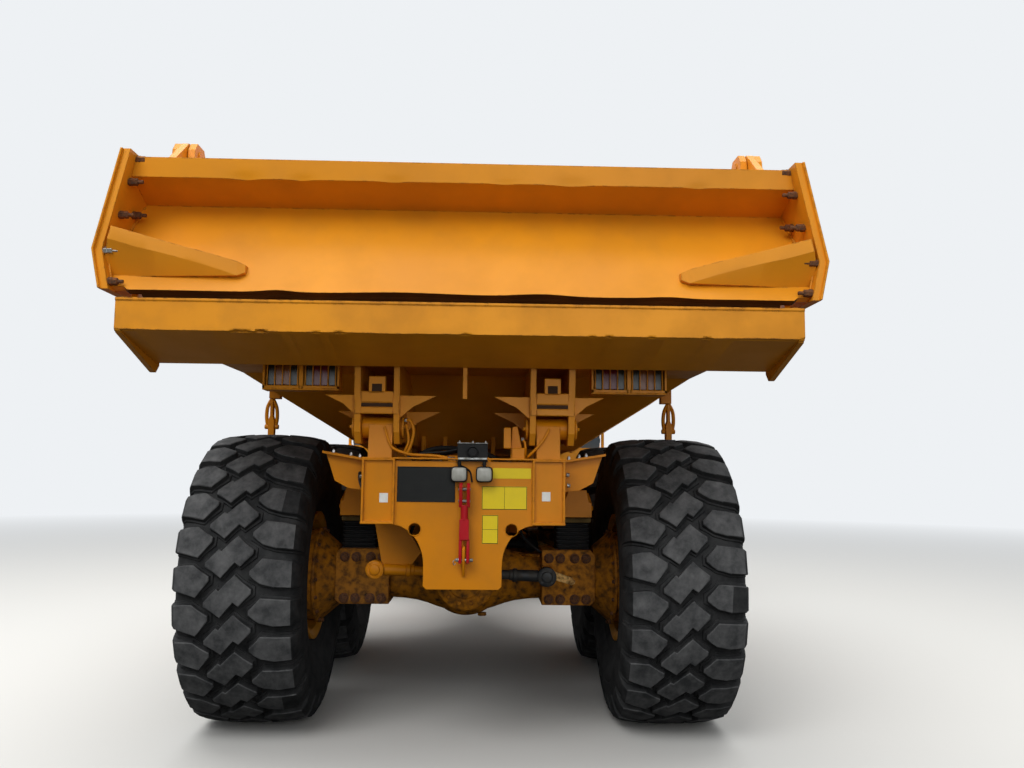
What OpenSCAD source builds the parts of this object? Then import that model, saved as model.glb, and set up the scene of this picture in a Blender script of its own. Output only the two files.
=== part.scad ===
// Articulated dump truck of the 40-tonne class with an overhung tailgate, body down and straight.
// The truck faces +X, its left side is +Y and the ground is z = 0.
// Lengths along x are written from the rearmost axle, and placed() brings them to the middle.

/* [Wheels] */
// Outside diameter of a tyre, over the lugs
tyre_d = 1870; // [1600:10:2100]
// Width of a tyre
tyre_w = 750; // [600:10:900]
// Distance between the tyre centres of an axle
track = 2636; // [2300:2:2900]
// Outside diameter of the rim flange
rim_d = 842; // [700:2:900]
// Width over the rim flanges
rim_w = 630; // [500:5:720]
// Number of lugs round a tyre
lugs = 26; // [16:1:32]
// Depth of the tread
lug_h = 46; // [20:1:70]

/* [Layout] */
// Distance between the two rear axles
bogie = 1940; // [1700:5:2100]
// Middle axle to front axle
wheelbase = 4450; // [4000:5:4800]
// Front axle to the articulation pivot
pivot_gap = 1350; // [1200:5:1500]
// Front axle to the front end
front_over = 3085; // [2600:5:3300]
// Rear axle to the rear end of the body
rear_over = 1705; // [1500:5:1900]

/* [Rear frame] */
// Half the inside width between the rails
rail_in = 390; // [300:5:450]
// Width of a rail
rail_w = 170; // [100:5:220]
// Top of the rails
rail_z = 1700; // [1600:5:1800]
// Depth of the rails at the rear
rail_h = 360; // [250:5:420]
// Rear face of the frame, behind the rear axle
frame_end = 1130; // [1000:5:1200]
// Radius of the two tie-down holes
hole_r = 33; // [20:1:45]
// Thickness of the rear plate
plate_t = 40; // [20:1:60]

/* [Dump body] */
// Hinge of the body, behind the rear axle
tip_x = 1000; // [950:5:1050]
// Height of the hinge of the body
tip_z = 1880; // [1800:5:1950]
// Underside of the floor
floor_z = 1800; // [1750:5:1850]
// Top of the side walls
wall_z = 3140; // [2900:5:3300]
// Half the width over the side walls
wall_y = 1720; // [1600:5:1800]
// Thickness of the body plates
wall_t = 30; // [16:1:40]
// Front end of the body, ahead of the rear axle
body_front = 3930; // [3600:5:3950]

/* [Cab] */
// Half the width of the cab
cab_y = 830; // [700:5:900]
// Height of the cab floor
cab_floor = 1760; // [1600:5:1900]
// Top of the roof
cab_top = 3720; // [3500:5:3800]
// Thickness of the cab walls
cab_t = 50; // [30:1:80]
// Thickness of the glass
glass_t = 8; // [5:1:12]

/* [Fits] */
// Clearance of a pin or a shaft in its bore, on the radius
pin_gap = 0.3; // [0.1:0.1:1]
// Gap beside a part that turns
side_gap = 6; // [5:0.5:15]
// Gap between a front tyre and its fender
fender_gap = 50; // [30:5:120]

/* [Hidden] */
yellow = "#E0961E";
dark = "#2B2D30";
black = "#1B1C1D";
rubber = "#303134";
steel = "#A9ABAD";
slate = "#3E464C";
red = "#A82A22";
cream = "#E3D9BE";
glass = [0.35, 0.42, 0.45, 0.55];
tyre_r = tyre_d / 2;
x_mid = bogie;
x_front = bogie + wheelbase;
x_pivot = x_front - pivot_gap;
x_end = x_front + front_over;
x_centre = (x_end - rear_over) / 2;
rail_out = rail_in + rail_w;
wheel_y = track / 2;
rim_r = rim_d / 2;
bed_r = rim_r - 42;
hub_r = 190;
axle_top = tyre_r + 190;
beam_z = 1345;
layer_h = (beam_z - axle_top) / 4;
pad_z = 1300;
shaft_r = 90;
tip_r = 45;
hoist_y = 250;
hoist_r = 78;
hoist_w = hoist_r + 4;
hoist_rod_r = 50;
hoist_rod_w = hoist_rod_r + 6;
hoist_pin = [2900, 950];
hoist_eye = [400, 1680];
post_y = [408, 542];
lug_y = [[368, 401], [586, 622]];
hoist_d = hoist_eye - hoist_pin;
hoist_l = norm(hoist_d);
hoist_a = atan2(hoist_d.y, hoist_d.x);
fender_z = tyre_d + fender_gap;
fender_top = fender_z + 40;
boxes_top = fender_top + 480;
steer_z = 1050;
steer_pin = [x_pivot + 1050, 460];
steer_eye = [x_pivot - 150, 300];
steer_r = 46;
steer_w = steer_r + 3;
steer_d = steer_eye - steer_pin;
steer_l = norm(steer_d);
steer_a = atan2(steer_d.y, steer_d.x);
gate_pin = [-800, 3520];
lip_z = 2210;
arm_y = [wall_y - 23, wall_y + 19];
ear_y = [[arm_y[0] - side_gap - 42, arm_y[0] - side_gap], [arm_y[1] + side_gap, arm_y[1] + side_gap + 40]];
cab_x0 = x_pivot + 300;
cab_x1 = cab_x0 + 1720;
door_x0 = cab_x0 + 620;
door_x1 = cab_x1 - 130;
hood_x0 = cab_x1 + 60;
hood_pin = [x_end - 330, 1330];
hinge_x = door_x0 - 2;
hinge_y = cab_y + 22;
hinge_z = [2080, 3150];
door_z0 = fender_top + 25;

module placed() { translate([-x_centre, 0, 0]) children(); }
module both() { children(); mirror([0, 1, 0]) children(); }
module box(a, b) { translate(a) cube(b - a); }
module slab_x(pts, a, b) { translate([a, 0, 0]) rotate([90, 0, 90]) linear_extrude(b - a) polygon(pts); }
module slab_y(pts, a, b) { translate([0, b, 0]) rotate([90, 0, 0]) linear_extrude(b - a) polygon(pts); }
module slab_z(pts, a, b) { translate([0, 0, a]) linear_extrude(b - a) polygon(pts); }
module drum_y(p, r, a, b) { translate([p.x, a, p.y]) rotate([-90, 0, 0]) cylinder(r = r, h = b - a, $fn = 48); }
module drum_x(y, z, r, a, b) { translate([a, y, z]) rotate([0, 90, 0]) cylinder(r = r, h = b - a, $fn = 48); }
module drum_z(p, r, a, b) { translate([p.x, p.y, a]) cylinder(r = r, h = b - a, $fn = 48); }
module bar(p, q, r) {
    d = q - p;
    translate(p) rotate([0, acos(d.z / norm(d)), atan2(d.y, d.x)]) cylinder(r = r, h = norm(d), $fn = 32);
}
function flip(pts) = [for (i = [len(pts) - 1:-1:0]) [-pts[i].x, pts[i].y]];

// The rings of points that a tyre's skin runs through, its axis along y
function plain_ring(r, y, turn) = [for (i = [0:lugs - 1]) let (a = (i + turn) * 360 / lugs - 90)
    [r * cos(a), y, r * sin(a)]];
function lug_ring(r, y, turn) = [for (i = [0:lugs - 1]) for (k = [0:3])
    let (a = (i + turn + [-0.08, 0, 0.42, 0.5][k]) * 360 / lugs - 90, q = k == 0 || k == 3 ? r - lug_h : r)
    [q * cos(a), y, q * sin(a)]];
// Faces between two rings of n points, between a plain ring and a ring of lugs, and the same turned over
function band(a, b, n) = [for (i = [0:n - 1]) let (j = (i + 1) % n) each
    [[a + i, a + j, b + j], [a + i, b + j, b + i]]];
function shoulder(a, b) = [for (i = [0:lugs - 1]) let (j = (i + 1) % lugs, c = b + 4 * i, d = b + 4 * j) each
    [[a + i, c + 1, c], [a + i, c + 2, c + 1], [a + i, a + j, c + 2], [a + j, c + 3, c + 2], [a + j, d, c + 3]]];
function over(faces) = [for (f = faces) [f[2], f[1], f[0]]];

// A tyre with lugs that zigzag across the tread
module tyre() {
    bead_y = rim_w / 2 - 22;
    bead_r = bed_r / cos(180 / lugs) + 1;
    seat_r = rim_r / cos(180 / lugs) + 1;
    wide_y = tyre_w / 2;
    edge_y = wide_y - 75;
    edge_r = tyre_r - 17;
    n = lugs;
    polyhedron(
        points = concat(plain_ring(bead_r, -bead_y, -0.7), plain_ring(seat_r, -bead_y, -0.7),
            plain_ring(680, -wide_y, -0.7), lug_ring(edge_r, -edge_y, -0.56), lug_ring(tyre_r, 0, 0),
            lug_ring(edge_r, edge_y, -0.42), plain_ring(680, wide_y, -0.7), plain_ring(seat_r, bead_y, -0.7),
            plain_ring(bead_r, bead_y, -0.7)),
        faces = concat(band(0, n, n), band(n, 2 * n, n), shoulder(2 * n, 3 * n), band(3 * n, 7 * n, 4 * n),
            band(7 * n, 11 * n, 4 * n), over(shoulder(15 * n, 11 * n)), band(15 * n, 16 * n, n),
            band(16 * n, 17 * n, n), band(17 * n, 0, n)));
}

// A rim with its disc, hub and gear housing, bored for the spindle
module rim() {
    rotate([90, 0, 0])
        rotate_extrude($fn = 96) polygon([
            [shaft_r + pin_gap, -230], [hub_r, -230], [hub_r + 10, -200], [hub_r + 20, -60], [330, -20],
            [bed_r - 18, -60], [bed_r - 18, -rim_w / 2 + 20], [rim_r - 22, -rim_w / 2], [rim_r, -rim_w / 2],
            [rim_r, -rim_w / 2 + 22], [bed_r, -rim_w / 2 + 22], [bed_r, rim_w / 2 - 22],
            [rim_r, rim_w / 2 - 22], [rim_r, rim_w / 2], [rim_r - 22, rim_w / 2],
            [bed_r - 18, rim_w / 2 - 20], [bed_r - 18, 20], [300, 40], [235, 44], [235, 110], [165, 120],
            [165, 165], [shaft_r + pin_gap, 165]]);
}

// The wheel of side s (1 left, -1 right) on the axle at x
module at_wheel(x, s) { placed() translate([x, s * wheel_y, tyre_r]) children(); }
module facing(s) { mirror([0, s > 0 ? 1 : 0, 0]) children(); }

module tyre_rl() { color(rubber) at_wheel(0, 1) tyre(); }
module tyre_rr() { color(rubber) at_wheel(0, -1) tyre(); }
module tyre_ml() { color(rubber) at_wheel(x_mid, 1) tyre(); }
module tyre_mr() { color(rubber) at_wheel(x_mid, -1) tyre(); }
module tyre_fl() { color(rubber) at_wheel(x_front, 1) tyre(); }
module tyre_fr() { color(rubber) at_wheel(x_front, -1) tyre(); }
module rim_rl() { color(yellow) at_wheel(0, 1) facing(1) rim(); }
module rim_rr() { color(yellow) at_wheel(0, -1) facing(-1) rim(); }
module rim_ml() { color(yellow) at_wheel(x_mid, 1) facing(1) rim(); }
module rim_mr() { color(yellow) at_wheel(x_mid, -1) facing(-1) rim(); }
module rim_fl() { color(yellow) at_wheel(x_front, 1) facing(1) rim(); }
module rim_fr() { color(yellow) at_wheel(x_front, -1) facing(-1) rim(); }

// A driven axle: differential, flange boxes, brake cones and spindles
module axle(x) {
    translate([x, 0, tyre_r]) {
        sphere(r = 262, $fn = 64);
        rotate([0, 90, 0]) cylinder(r = 170, h = 560, center = true, $fn = 48);
        both() {
            rotate([-90, 0, 0]) cylinder(r = 135, h = 600, $fn = 48);
            difference() {
                slab_x([[500, -165], [820, -165], [850, -135], [850, 160], [820, axle_top - tyre_r],
                    [500, axle_top - tyre_r]], -210, 210);
                for (i = [-1, 1], z = [-120, 145]) for (y = [560, 700])
                    translate([i * 211, y, z]) rotate([0, -90 * i, 0]) cylinder(r = 15, h = 12, $fn = 16);
            }
            translate([0, 850, 0]) rotate([-90, 0, 0]) cylinder(r1 = 200, r2 = 300, h = 120, $fn = 64);
            translate([0, 970, 0]) rotate([-90, 0, 0]) cylinder(r = 300, h = 70, $fn = 64);
            translate([0, 1040, 0]) rotate([-90, 0, 0]) cylinder(r = 205, h = 30, $fn = 64);
            translate([0, 1060, 0]) rotate([-90, 0, 0]) cylinder(r = shaft_r, h = 440, $fn = 64);
        }
    }
}

module rear_axles() { color(yellow) placed() { axle(0); axle(x_mid); } }
module front_axle() { color(yellow) placed() axle(x_front); }

// The left half of the rear plate: its sides sweep in to a tongue in quarter circles
plate_side = concat([[rail_in + 60, rail_z - 10], [rail_in + 60, 1335]],
    [for (a = [90:-9:0]) [400 - 182 * cos(a), 1110 + 225 * sin(a)]], [[218, 1000], [200, 982]]);

module rear_frame() {
    top = rail_z;
    low = rail_z - rail_h;
    color(yellow) placed() difference() {
        union() {
            both() {
                slab_y([[-frame_end + 20, low], [2500, low], [3000, 1230], [3450, 1230], [3450, 1560],
                    [3150, 1560], [2900, top], [-frame_end + 20, top]], rail_in, rail_out);
                difference() {
                    box([-frame_end, rail_in - 5, low], [-frame_end + 45, rail_out + 8, top]);
                    box([-frame_end - 5, rail_in + 7, low + 14], [-frame_end + 20, rail_out - 4, top - 8]);
                }
                slab_x([[rail_out - 10, 1520], [665, 1531], [745, 1574], [798, 1730], [rail_out - 10, 1690]],
                    -960, -930);
                slab_x([[rail_out - 10, 1686], [812, 1730], [812, 1744], [rail_out - 10, 1700]], -1010, -760);
                slab_y([[-frame_end + 25, top - 30], [-tip_x + 260, top - 30], [-tip_x + 62, tip_z + 15],
                    [-tip_x - 62, tip_z + 15]], post_y[0], post_y[1]);
                drum_y([-tip_x, tip_z], tip_r + 16, lug_y[0][1] + 3, lug_y[1][0] - 3);
                slab_x([[rail_out - 20, 1500], [700, 1480], [850, 1450], [850, 1600], [rail_out - 20, 1700]],
                    720, 1220);
                drum_y([x_mid / 2, 1310], 62, rail_out - 20, 830);
                for (y = [hoist_y - hoist_w - side_gap - 34, hoist_y + hoist_w + side_gap])
                    slab_y([[hoist_pin.x - 80, 880], [3260, 880], [3260, 1240], [3150, 1240],
                        [hoist_pin.x - 80, 1020]], y, y + 34);
                drum_y(hoist_pin, 42, hoist_y - hoist_w - 38, hoist_y + hoist_w + 38);
                for (x = [200, 1300, 2300]) box([x, rail_in + 15, top - 10], [x + 420, rail_out - 15, floor_z - 1]);
            }
            slab_x(concat(plate_side, flip(plate_side)), -frame_end + 25, -frame_end + 25 + plate_t);
            box([-frame_end + 25, -rail_in, top - 110], [-700, rail_in, top - 70]);
            box([620, -rail_in - 20, low], [880, rail_in + 20, low + 70]);
            box([3250, -rail_out, 880], [3500, rail_out, 1560]);
            slab_z([[3480, -480], [3800, -340], [x_pivot - 740, -300], [x_pivot - 740, 300], [3800, 340], [3480, 480]],
                800, 1320);
            drum_x(0, steer_z, 290, x_pivot - 840, x_pivot - 320);
            slab_y([[-250, low - 60], [-60, low - 60], [-60, 1400], [-250, 1400]], 300, rail_in + 20);
        }
        drum_x(0, steer_z, 200 + pin_gap, x_pivot - 890, x_pivot);
        both() drum_y([-tip_x, tip_z], tip_r + pin_gap, 380, 620);
        both() drum_x(270, 1310, hole_r, -frame_end - 50, -frame_end + 200);
    }
}

module bogie_beams() {
    color(yellow) placed() both() difference() {
        union() {
            slab_y([[-300, beam_z], [-300, 1440], [-120, 1500], [600, 1420], [x_mid / 2, 1380], [x_mid - 600, 1420],
                [x_mid + 120, 1500], [x_mid + 300, 1440], [x_mid + 300, beam_z], [x_mid - 135, beam_z],
                [x_mid - 440, 1270], [x_mid / 2, 1190], [440, 1270], [135, beam_z]], rail_out + side_gap + 12, 816);
            for (x = [-300, x_mid + 160])
                slab_x([[600, 1350], [816, 1350], [782, 1520], [665, 1520], [640, 1440], [600, 1420]], x, x + 140);
        }
        drum_y([x_mid / 2, 1310], 62 + pin_gap, 500, 900);
    }
}

module rubber_springs() {
    color(rubber) placed() both() for (x = [0, x_mid]) for (i = [0:3])
        box([x - 130, 600, axle_top + i * layer_h], [x + 130, 822, axle_top + (i + 1) * layer_h]);
}

rod_z = tyre_r + 45;
function rod_top(x) = rail_z - rail_h - (x == 0 ? 0 : 45);

module cross_rods() {
    color(yellow) placed() for (x = [0, x_mid]) translate([0, 0, x == 0 ? 0 : 45]) {
        bar([x - 520, 552, rod_z + 48], [x - 430, -515, rod_z], 28);
        translate([x - 520, 552, rod_z + 48]) rotate([0, 90, 4]) cylinder(r = 52, h = 100, center = true, $fn = 40);
        translate([x - 430, -515, rod_z]) rotate([0, 90, 4]) cylinder(r = 56, h = 90, center = true, $fn = 40);
        slab_x([[570, rod_top(x)], [400, rod_top(x)], [272, rod_z + 151], [362, rod_z + 32], [505, rod_z + 32]],
            x - 510, x - 485);
        box([x - 440, -560, rod_z - 50], [x - 210, -500, rod_z + 40]);
    }
}

module drive_shafts() {
    color(dark) placed() {
        bar([280, 0, tyre_r], [x_mid - 280, 0, tyre_r], 58);
        bar([x_mid + 290, 0, tyre_r], [3240, 0, 1000], 58);
        for (x = [305, x_mid - 305, x_mid + 305]) drum_x(0, tyre_r, 95, x - 25, x + 25);
    }
}

// The pieces on the rear plate, at their heights above the ground
plate_x = -frame_end + 25;

module work_lamps() {
    color(black) placed() {
        box([plate_x - 20, -132, rail_z - 10], [plate_x + 36, 38, rail_z + 102]);
        box([plate_x - 30, -112, 1668], [plate_x, 14, rail_z - 10]);
        for (y = [35, -100]) {
            box([plate_x - 78, y - 45, 1575], [plate_x - 12, y + 45, 1665]);
            box([plate_x - 30, y > 0 ? -10 : -112, 1645], [plate_x - 12, y > 0 ? 35 : -90, 1690]);
        }
    }
}

module number_plate() {
    color(black) placed() box([plate_x - 4, 85, 1462], [plate_x, 372, 1640]);
}

module lock_link() {
    color(red) placed() {
        for (y = [-34, 8]) slab_y([[plate_x - 75, 1440], [plate_x - 20, 1440], [plate_x, 1530], [plate_x, 1570],
            [plate_x - 60, 1570], [plate_x - 85, 1540]], y, y + 12);
        box([plate_x - 72, -36, 1250], [plate_x - 30, 22, 1450]);
        for (y = [-34, 8]) box([plate_x - 66, y, 1130], [plate_x - 30, y + 12, 1255]);
        slab_y([[plate_x, 1060], [plate_x - 20, 1060], [plate_x - 64, 1120], [plate_x - 64, 1200], [plate_x, 1220]],
            -21, 7);
    }
}

// The side view of the body's outside and of its load space
body_out = [[-rear_over, 2480], [-rear_over, 2318], [-1200, lip_z], [-1185, 2240], [-500, 2240], [450, floor_z],
    [3150, floor_z], [3700, 2150], [body_front, wall_z], [-1220, wall_z], [-1250, 3050], [-1555, 2560], [-1600, 2480]];
body_in = [[-rear_over - 50, 2480], [-500, 2270], [455, floor_z + wall_t], [3135, floor_z + wall_t],
    [3670, 2165], [body_front - wall_t, wall_z + 40], [-rear_over - 50, wall_z + 40]];
side_out = [[770, floor_z], [1390, 2220], [wall_y - 20, 2440], [wall_y, wall_z]];
side_in = [[760, floor_z + wall_t], [1375, 2248], [wall_y - 20 - wall_t, 2455], [wall_y - wall_t, wall_z + 40]];

function side_z(y) = side_out[1].y
    + (y - side_out[1].x) * (side_out[2].y - side_out[1].y) / (side_out[2].x - side_out[1].x);

module dump_body() {
    color(yellow) placed() difference() {
        union() {
            difference() {
                intersection() {
                    slab_y(body_out, -wall_y - 10, wall_y + 10);
                    slab_x(concat(side_out, flip(side_out)), -rear_over - 10, body_front + 10);
                }
                intersection() {
                    slab_y(body_in, -wall_y, wall_y);
                    slab_x(concat(side_in, flip(side_in)), -rear_over - 100, body_front + 10);
                }
            }
            slab_y([[-rear_over, 2478], [-rear_over, 2318], [-1200, lip_z], [-1185, 2230], [-1185, 2390]],
                -wall_y + 8, wall_y - 8);
            both() slab_y([[-rear_over, 2478], [-rear_over, 2322], [-rear_over + 8, 2310], [-1215, 2160], [-1195, 2158],
                [-1150, 2200], [-1150, 2390]], wall_y - 16, wall_y + 14);
            box([-1150, -wall_y - 55, wall_z - 90], [body_front - 120, -wall_y + 10, wall_z]);
            box([-1150, wall_y - 10, wall_z - 90], [body_front - 120, wall_y + 55, wall_z]);
            slab_y([[body_front - 60, wall_z - 120], [body_front - 10, wall_z - 120], [body_front + 15, wall_z + 330],
                [body_front - 15, wall_z + 330]], -1500, 1500);
            both() {
                for (y = lug_y) slab_y([[-tip_x - 105, tip_z - 30], [-tip_x - 60, tip_z - 95],
                    [-tip_x + 60, tip_z - 95], [-tip_x + 200, floor_z + 8], [520, floor_z + 8],
                    [450, floor_z + 20], [-500, 2250], [-tip_x - 150, 2250]], y[0], y[1]);
                drum_y([-tip_x, tip_z], tip_r, lug_y[0][0] - 6, lug_y[1][1] + 6);
                box([-tip_x - 125, lug_y[0][0] + 5, tip_z + 72], [-tip_x - 95, lug_y[1][1] - 5, tip_z + 195]);
                for (y = [hoist_y - hoist_rod_w - side_gap - 30, hoist_y + hoist_rod_w + side_gap])
                    slab_y([[hoist_eye.x - 75, hoist_eye.y - 60], [hoist_eye.x + 75, hoist_eye.y - 60],
                        [hoist_eye.x + 150, floor_z + 8], [hoist_eye.x + 50, floor_z + 12],
                        [hoist_eye.x - 130, floor_z + 95]], y, y + 30);
                for (x = [900, 1900, 2900]) slab_x([[770, floor_z + 10], [wall_y - 20, 2455], [wall_y - 10, 2600],
                    [wall_y + 50, 2600], [wall_y + 50, 2420], [1420, 2180], [800, floor_z - 8]], x, x + 90);
                for (p = [[-tip_x - 90, 2058], [-tip_x + 340, 1995]]) {
                    slab_x([[lug_y[0][0] + 2, p.y - 128], [lug_y[0][0] + 2, p.y], [162, p.y], [290, p.y - 60]],
                        p.x, p.x + 16);
                    slab_x([[lug_y[1][1] - 2, p.y - 110], [lug_y[1][1] - 2, p.y], [790, p.y], [690, p.y - 50]],
                        p.x, p.x + 16);
                }
                for (y = ear_y) slab_y([[-960, wall_z - 60], [-900, gate_pin.y + 20], [-860, gate_pin.y + 70],
                    [-740, gate_pin.y + 70], [-700, gate_pin.y + 20], [-560, wall_z - 60]], y[0], y[1]);
                drum_y(gate_pin, 40, ear_y[0][0] - 8, ear_y[1][1] + 8);
            }
            slab_y([[-1190, 2200], [-1190, 2035], [-1150, 2035], [-900, 2160], [-860, 2245], [-1190, 2245]], -12, 12);
        }
    }
}

module tail_lamps() {
    color(dark) placed() both() {
        box([-1000, 730, 2090], [-880, 1170, 2105]);
        box([-1000, 730, 2105], [-985, 745, 2240]);
        for (i = [0:1]) box([-995, 745 + i * 215, 2105], [-885, 745 + i * 215 + 195, 2240]);
        box([-1000, 1155, 2105], [-880, 1170, 2240]);
    }
}

module gate_links() {
    color(yellow) placed() both()
        slab_x([for (y = [1530, 1620]) [y, side_z(y)], [1620, 1900], [1580, 1900], [1580, 2280], [1530, 2240]], 1000, 1080);
}

// The gate's ends slope out to their widest point and back in
gate_end = [[1707, 3251], [1824, 2726], [1783, 2525]];
gate_t = 46;

module tailgate() {
    color(yellow) placed() {
        intersection() {
            slab_y([[-1640, 2548], [-1600, 2532], [-1290, 3050], [-1290, 3230], [-1600, 3238], [-1588, 3136],
                [-1330, 3060]], -1900, 1900);
            slab_x(concat(gate_end, flip(gate_end)), -1700, -1200);
        }
        slab_y([[-1622, 2548], [-1590, 2522], [-1490, 2470], [-1470, 2492], [-1560, 2600]], -1640, 1640);
        both() intersection() {
            hull() {
                slab_y([[-1612, 2690], [-1614, 2652], [-1585, 2645], [-1530, 2690]], 1122, 1123);
                slab_y([[-1625, 2708], [-1628, 2632], [-1575, 2630], [-1519, 2708]], 1160, 1161);
                slab_y([[-1670, 2941], [-1672, 2871], [-1575, 2630], [-1378, 2941]], 1853, 1854);
            }
            slab_x(concat(gate_end, flip(gate_end)), -1700, -1200);
        }
    }
}

module gate_arms() {
    color(yellow) placed() both() {
        slab_x(concat(gate_end, [for (i = [2:-1:0]) gate_end[i] + [gate_t, 0]]), -1680, -1320);
        difference() {
            slab_y([[-1290, 3060], [-1290, 3235], [-1200, 3330], [-870, gate_pin.y + 68], [-740, gate_pin.y + 68],
                [-720, gate_pin.y - 55], [-880, gate_pin.y - 90], [-1222, 3160], [-1262, 3060]], arm_y[0], arm_y[1]);
            drum_y(gate_pin, 40 + pin_gap, 1600, 2000);
        }
    }
}

// A hoist cylinder lies from the frame pin up and back to the clevis under the body
module along_hoist(s) {
    placed() translate([hoist_pin.x, s * hoist_y, hoist_pin.y]) rotate([0, -hoist_a, 0]) children();
}
module hoist_barrel(s) {
    along_hoist(s) difference() {
        union() {
            translate([60, 0, 0]) rotate([0, 90, 0]) cylinder(r = hoist_r, h = 1800, $fn = 48);
            translate([1830, 0, 0]) rotate([0, 90, 0]) cylinder(r = hoist_r + 6, h = 120, $fn = 48);
            rotate([90, 0, 0]) cylinder(r = 95, h = 2 * hoist_w, center = true, $fn = 48);
        }
        rotate([90, 0, 0]) cylinder(r = 42 + pin_gap, h = 200, center = true, $fn = 48);
        translate([500, 0, 0]) rotate([0, 90, 0]) cylinder(r = hoist_rod_r + pin_gap, h = 2000, $fn = 48);
    }
}
module hoist_rod(s) {
    along_hoist(s) difference() {
        union() {
            translate([505, 0, 0]) rotate([0, 90, 0]) cylinder(r = hoist_rod_r, h = hoist_l - 505 - 50, $fn = 48);
            translate([hoist_l, 0, 0]) rotate([90, 0, 0]) cylinder(r = 75, h = 2 * hoist_rod_w, center = true, $fn = 48);
        }
        translate([hoist_l, 0, 0]) rotate([90, 0, 0]) cylinder(r = 40, h = 100, center = true, $fn = 48);
    }
}
module hoist_barrel_l() { color(yellow) hoist_barrel(1); }
module hoist_barrel_r() { color(yellow) hoist_barrel(-1); }
module hoist_rod_l() { color(steel) hoist_rod(1); }
module hoist_rod_r() { color(steel) hoist_rod(-1); }

module hitch() {
    gap = steer_w + side_gap;
    color(yellow) placed() {
        drum_x(0, steer_z, 200, x_pivot - 720, x_pivot - 300);
        drum_x(0, steer_z, 280, x_pivot - 320 + side_gap, x_pivot - 240);
        slab_z([[x_pivot - 250, -165], [x_pivot - 40, -130], [x_pivot - 40, 130], [x_pivot - 250, 165]], 850, 1250);
        drum_z([x_pivot, 0], 140, 800, 1300);
        drum_z([x_pivot, 0], 70, 690, 1410);
        both() for (z = [steer_z - gap - 28, steer_z + gap])
            slab_z([[x_pivot - 245, 140], [x_pivot - 245, 250], [steer_eye.x - 50, steer_eye.y + 50],
                [steer_eye.x + 50, steer_eye.y + 50], [x_pivot - 60, 120]], z, z + 28);
    }
}

// A steering cylinder runs from the front frame back to the hitch
module along_steer(s) {
    placed() translate([steer_pin.x, s * steer_pin.y, steer_z]) rotate([0, 0, s * steer_a]) children();
}
module steer_barrel(s) {
    along_steer(s) difference() {
        union() {
            translate([40, 0, 0]) rotate([0, 90, 0]) cylinder(r = steer_r, h = 820, $fn = 48);
            cylinder(r = 56, h = 2 * steer_w, center = true, $fn = 48);
        }
        cylinder(r = 28 + pin_gap, h = 200, center = true, $fn = 48);
        translate([180, 0, 0]) rotate([0, 90, 0]) cylinder(r = 26 + pin_gap, h = 900, $fn = 48);
    }
}
module steer_rod(s) {
    along_steer(s) difference() {
        union() {
            translate([440, 0, 0]) rotate([0, 90, 0]) cylinder(r = 26, h = steer_l - 440 - 36, $fn = 48);
            translate([steer_l, 0, 0]) cylinder(r = 44, h = 2 * steer_w, center = true, $fn = 48);
        }
        translate([steer_l, 0, 0]) cylinder(r = 26, h = 200, center = true, $fn = 48);
    }
}
module steer_barrel_l() { color(yellow) steer_barrel(1); }
module steer_barrel_r() { color(yellow) steer_barrel(-1); }
module steer_rod_l() { color(steel) steer_rod(1); }
module steer_rod_r() { color(steel) steer_rod(-1); }

module front_frame() {
    x = x_pivot;
    gap = steer_w + side_gap;
    color(yellow) placed() difference() {
        union() {
            for (z = [[700, 800 - side_gap], [1300 + side_gap, 1400]]) {
                drum_z([x, 0], 160, z[0], z[1]);
                slab_z([[x, -160], [x + 300, -215], [x + 560, -215], [x + 560, 215], [x + 300, 215], [x, 160]],
                    z[0], z[1]);
            }
            box([x + 430, -215, 700], [x + 560, 215, 1400]);
            both() {
                slab_y([[x + 440, 1400], [x + 700, 1380], [x_end - 300, 1380], [x_end - 300, 1130], [x + 440, 1130]],
                    200, 340);
                box([x + 500, 100, 800], [x + 930, 215, 1200]);
                for (z = [steer_z - gap - 28, steer_z + gap])
                    box([steer_pin.x - 60, 335, z], [steer_pin.x + 80, 510, z + 28]);
                box([steer_pin.x + 62, 240, steer_z - gap - 28], [steer_pin.x + 82, 490, 1200]);
                drum_z(steer_pin, 28, steer_z - gap - 20, steer_z + gap + 20);
                for (a = [cab_x0 + 60, cab_x1 - 180]) {
                    box([a, 330, 1290], [a + 120, 780, 1380]);
                    box([a, 660, 1370], [a + 120, 780, cab_floor]);
                }
                box([x_front + 1180, 330, 1160], [x_front + 1300, 1500, 1240]);
                box([x_front - 900, 770, 1300], [x_front - 820, 930, 1380]);
                box([x_front - 900, 330, 1300], [x_front - 820, 780, 1380]);
                box([x_front - 900, 850, 1370], [x_front - 820, 930, fender_z]);
                box([x_front - 90, 330, pad_z], [x_front + 90, 700, 1380]);
            }
            box([x_front + 900, -230, 1130], [x_front + 1020, 230, 1380]);
            box([x_end - 420, -340, 1100], [x_end - 300, 340, 1380]);
            both() slab_y([[hood_pin.x - 60, 1375], [hood_pin.x - 45, 1280], [hood_pin.x + 45, 1280],
                [hood_pin.x + 60, 1375]], 335, 380);
        }
        drum_z([x, 0], 70 + pin_gap, 650, 1450);
        both() drum_y(hood_pin, 25 + pin_gap, 300, 500);
    }
}

module front_springs() {
    color(rubber) placed() both() {
        drum_z([x_front, 620], 75, axle_top, pad_z);
    }
}

module engine() {
    color(dark) placed() box([hood_x0 + 260, -330, 1380], [hood_x0 + 1560, 330, 2150]);
}

hood_out = [[hood_x0, 1500], [hood_x0, 2720], [hood_x0 + 500, 2700], [x_end - 330, 2380], [x_end - 130, 2280],
    [x_end - 60, 2050], [x_end - 60, 1700], [x_end - 120, 1500]];

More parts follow.
